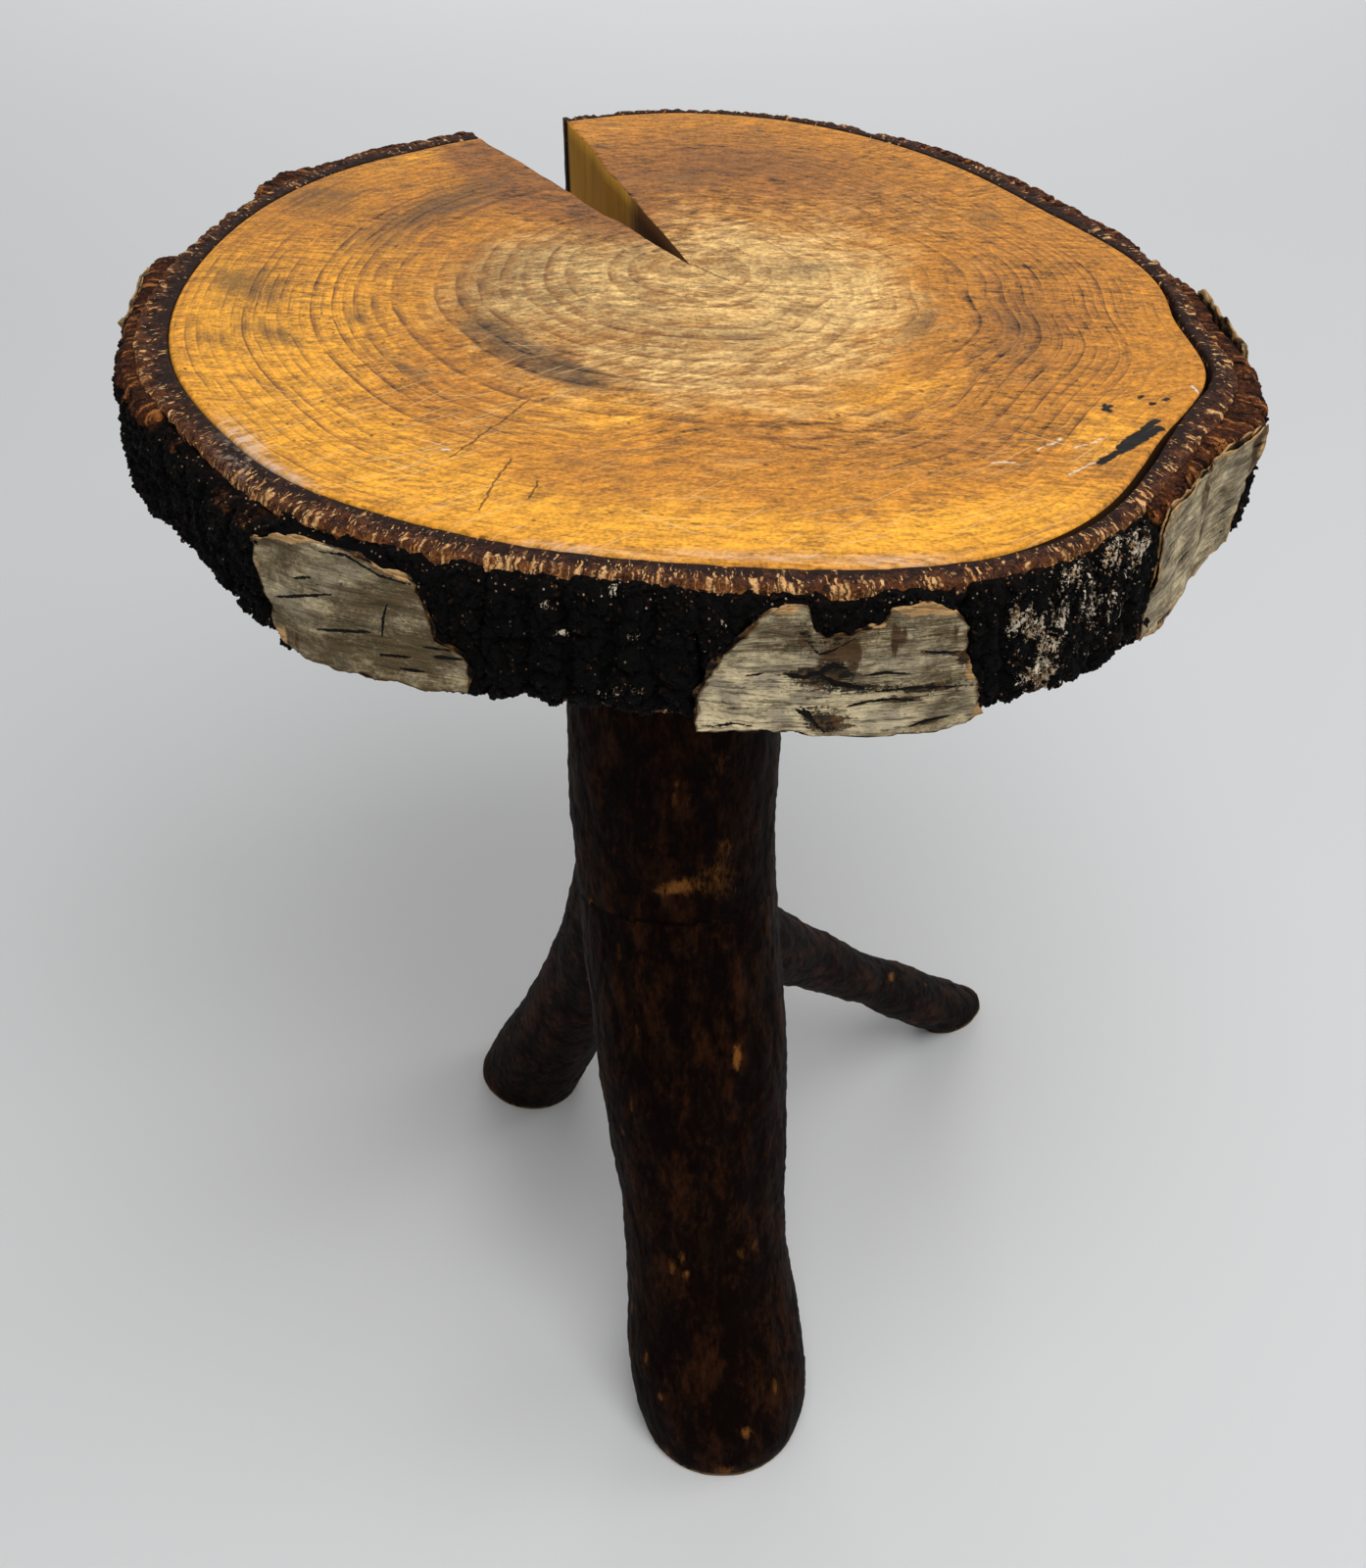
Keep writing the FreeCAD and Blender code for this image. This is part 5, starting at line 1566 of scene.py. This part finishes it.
def along_limbs(points):
    """Place of each point in its own limb's frame, with Z along the limb, so that bark runs down it."""
    nearest = np.full(len(points), np.inf)
    framed = np.zeros_like(points)
    for i, (start, end, half) in enumerate(LIMBS):
        reach = np.linalg.norm(np.subtract(end, start))
        along = np.subtract(end, start) / reach
        side = np.cross(along, (1, 0, 0))
        side /= np.linalg.norm(side)
        away = points - start
        run = np.clip(away @ along, 0, reach)
        off = np.linalg.norm(away - run[:, None] * along, axis=1) / half
        local = np.c_[away @ np.cross(along, side), away @ side, away @ along + 0.9 * i]
        framed = np.where((off < nearest)[:, None], local, framed)
        nearest = np.minimum(nearest, off)
    return framed


def joined_limbs(nodes, voxel):
    """The fork: one smooth mesh that joins some CAD limbs."""
    weld, softness, rounds = 1e-6, 0.5, 14
    shape = bmesh.new()
    for name in nodes:
        shape.from_mesh(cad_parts[name].data)
    bmesh.ops.remove_doubles(shape, verts=shape.verts, dist=weld)
    mesh = bpy.data.meshes.new("fork")
    shape.to_mesh(mesh)
    shape.free()
    piece = bpy.data.objects.new("fork", mesh)
    bpy.context.scene.collection.objects.link(piece)
    join = piece.modifiers.new("join", "REMESH")
    join.mode = "VOXEL"
    join.voxel_size = voxel
    soften = piece.modifiers.new("soften", "SMOOTH")
    soften.factor = softness
    soften.iterations = rounds
    graph = bpy.context.evaluated_depsgraph_get()
    piece.data = bpy.data.meshes.new_from_object(piece.evaluated_get(graph), depsgraph=graph)
    piece.modifiers.clear()
    bpy.data.meshes.remove(mesh)
    return piece


class TRUNK_OT_fork(bpy.types.Operator):
    """Join the stem and its limbs into one natural fork with rough bark"""

    bl_idname = "trunk.fork"
    bl_label = "Fork"

    def execute(self, context):
        near_floor, settle, swell = 0.0022, 0.0009, 0.0016
        look = context.scene.trunk_limbs
        nodes = ("main_stem", "rear_left_leg", "rear_right_leg")
        piece = joined_limbs(nodes, look.voxel)
        points = points_of(piece.data)
        heights = points[:, 2]
        heights[:] = np.where(heights < near_floor, np.maximum(heights - settle, 0.0), heights)
        free = ease(heights, 0.001, 0.012) * (1 - ease(heights, UNDERSIDE - 0.006, UNDERSIDE - 0.001))
        outward = np.empty(points.shape, np.float32)
        piece.data.vertex_normals.foreach_get("vector", outward.ravel())
        points += outward * (free * swell * rough(points * (1, 1, 0.5), 0.034, 3, 21))[:, None]
        move_points(piece, points)
        piece.data.shade_smooth()
        worn = np.clip(near_blots(photo_px(points), WORN_PATCHES), 0, 1.3) * (outward[:, 1] < 0.3)
        sole = 1 - ease(heights, 0.0003, 0.0012)
        paint(piece, free=free, grain_at=along_limbs(points), worn=worn, sole=sole)
        lumped = {"Relief": look.relief, "Lump": look.lump, "Tall": 2.4, "Fissures": 0.5}
        run_tree(piece, *crumble_tree(), {**lumped, "Material": limb_bark(look)})
        place(piece, "limb_bark", *nodes)
        return {"FINISHED"}


class TRUNK_OT_dowels(bpy.types.Operator):
    """Give the hidden dowels their turned hardwood"""

    bl_idname = "trunk.dowels"
    bl_label = "Dowels"

    def execute(self, context):
        material = dowel_wood(context.scene.trunk_limbs)
        for name in ("centre_dowel", "side_dowels"):
            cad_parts[name].material_slots[0].material = material
        return {"FINISHED"}


# The studio

# Lamps: width, place and target in metres.
LAMPS = {
    "key": (1.1, (0.25, -0.75, 1.75), (0, 0, 0.35)),
    "side": (0.9, (1.5, 0.35, 1.0), (0, 0, 0.25)),
    "far": (2.0, (0, 3.0, 1.8), (0, 3.2, 0)),
}


class TRUNK_OT_stage(bpy.types.Operator):
    """Set the plain floor, the soft light and the camera at the photo's viewpoint"""

    bl_idname = "trunk.stage"
    bl_label = "Stage"

    def lamp(self, context, name, power, size, place_at, target):
        data = bpy.data.lights.new(name, "AREA")
        data.energy = power
        data.size = size
        lamp = bpy.data.objects.new(name, data)
        context.scene.collection.objects.link(lamp)
        lamp.location = place_at
        x, y, z = np.subtract(target, place_at)
        lamp.rotation_euler = (math.atan2(math.hypot(x, y), -z), 0, math.atan2(y, x) - math.pi / 2)

    def execute(self, context):
        reach, count = 4, 9
        look = context.scene.trunk_stage
        x, y = np.meshgrid(*[np.linspace(-reach, reach, count)] * 2)
        mesh = bpy.data.meshes.new("floor")
        mesh.from_pydata(np.c_[x.ravel(), y.ravel(), 0 * x.ravel()].tolist(), [], sheet_faces(count, count))
        floor = bpy.data.objects.new("floor", mesh)
        context.scene.collection.objects.link(floor)
        mesh.materials.append(pale_floor(look))
        for name, row in LAMPS.items():
            self.lamp(context, name, getattr(look, name), *row)
        world = bpy.data.worlds.new("surround")
        context.scene.world = world
        world.use_nodes = True
        backdrop = world.node_tree.nodes["Background"]
        backdrop.inputs["Color"].default_value = (1, 1, 1, 1)
        backdrop.inputs["Strength"].default_value = look.sky
        camera = bpy.data.objects.new("camera", bpy.data.cameras.new("camera"))
        context.scene.collection.objects.link(camera)
        camera.location = EYE
        camera.rotation_euler = (math.pi / 2 - EYE_PITCH, 0, 0)
        camera.data.sensor_width = SENSOR_MM
        camera.data.lens = FOCAL_PX / PHOTO[1] * SENSOR_MM
        context.scene.camera = camera
        context.scene.view_settings.view_transform = "Standard"
        return {"FINISHED"}


LOOKS = {"trunk_top": TrunkTop, "trunk_bark": TrunkBark, "trunk_limbs": TrunkLimbs, "trunk_stage": TrunkStage}
STEPS = (TRUNK_OT_slab, TRUNK_OT_inner_bark, TRUNK_OT_cork_plates, TRUNK_OT_white_bark, TRUNK_OT_fork,
         TRUNK_OT_dowels, TRUNK_OT_stage)


class TRUNK_PT_panel(bpy.types.Panel):
    """Sizes, colours and steps of the trunk slice table"""

    bl_idname = "TRUNK_PT_panel"
    bl_label = "Trunk Slice Table"
    bl_space_type = "VIEW_3D"
    bl_region_type = "UI"
    bl_category = "Trunk Table"

    def draw(self, context):
        for name in LOOKS:
            look = getattr(context.scene, name)
            box = self.layout.box()
            for prop in look.bl_rna.properties:
                if prop.identifier not in ("rna_type", "name"):
                    box.prop(look, prop.identifier)
        for kind in STEPS:
            self.layout.operator(kind.bl_idname)


CLASSES = (*LOOKS.values(), *STEPS, TRUNK_PT_panel)


def register():
    for kind in CLASSES:
        bpy.utils.register_class(kind)
    for name, kind in LOOKS.items():
        setattr(bpy.types.Scene, name, bpy.props.PointerProperty(type=kind))


def unregister():
    for name in LOOKS:
        delattr(bpy.types.Scene, name)
    for kind in reversed(CLASSES):
        bpy.utils.unregister_class(kind)


def main():
    """Register the add-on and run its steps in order."""
    register()
    bpy.ops.trunk.slab()
    bpy.ops.trunk.inner_bark()
    bpy.ops.trunk.cork_plates()
    bpy.ops.trunk.white_bark()
    bpy.ops.trunk.fork()
    bpy.ops.trunk.dowels()
    bpy.ops.trunk.stage()


if __name__ == "__main__":
    main()
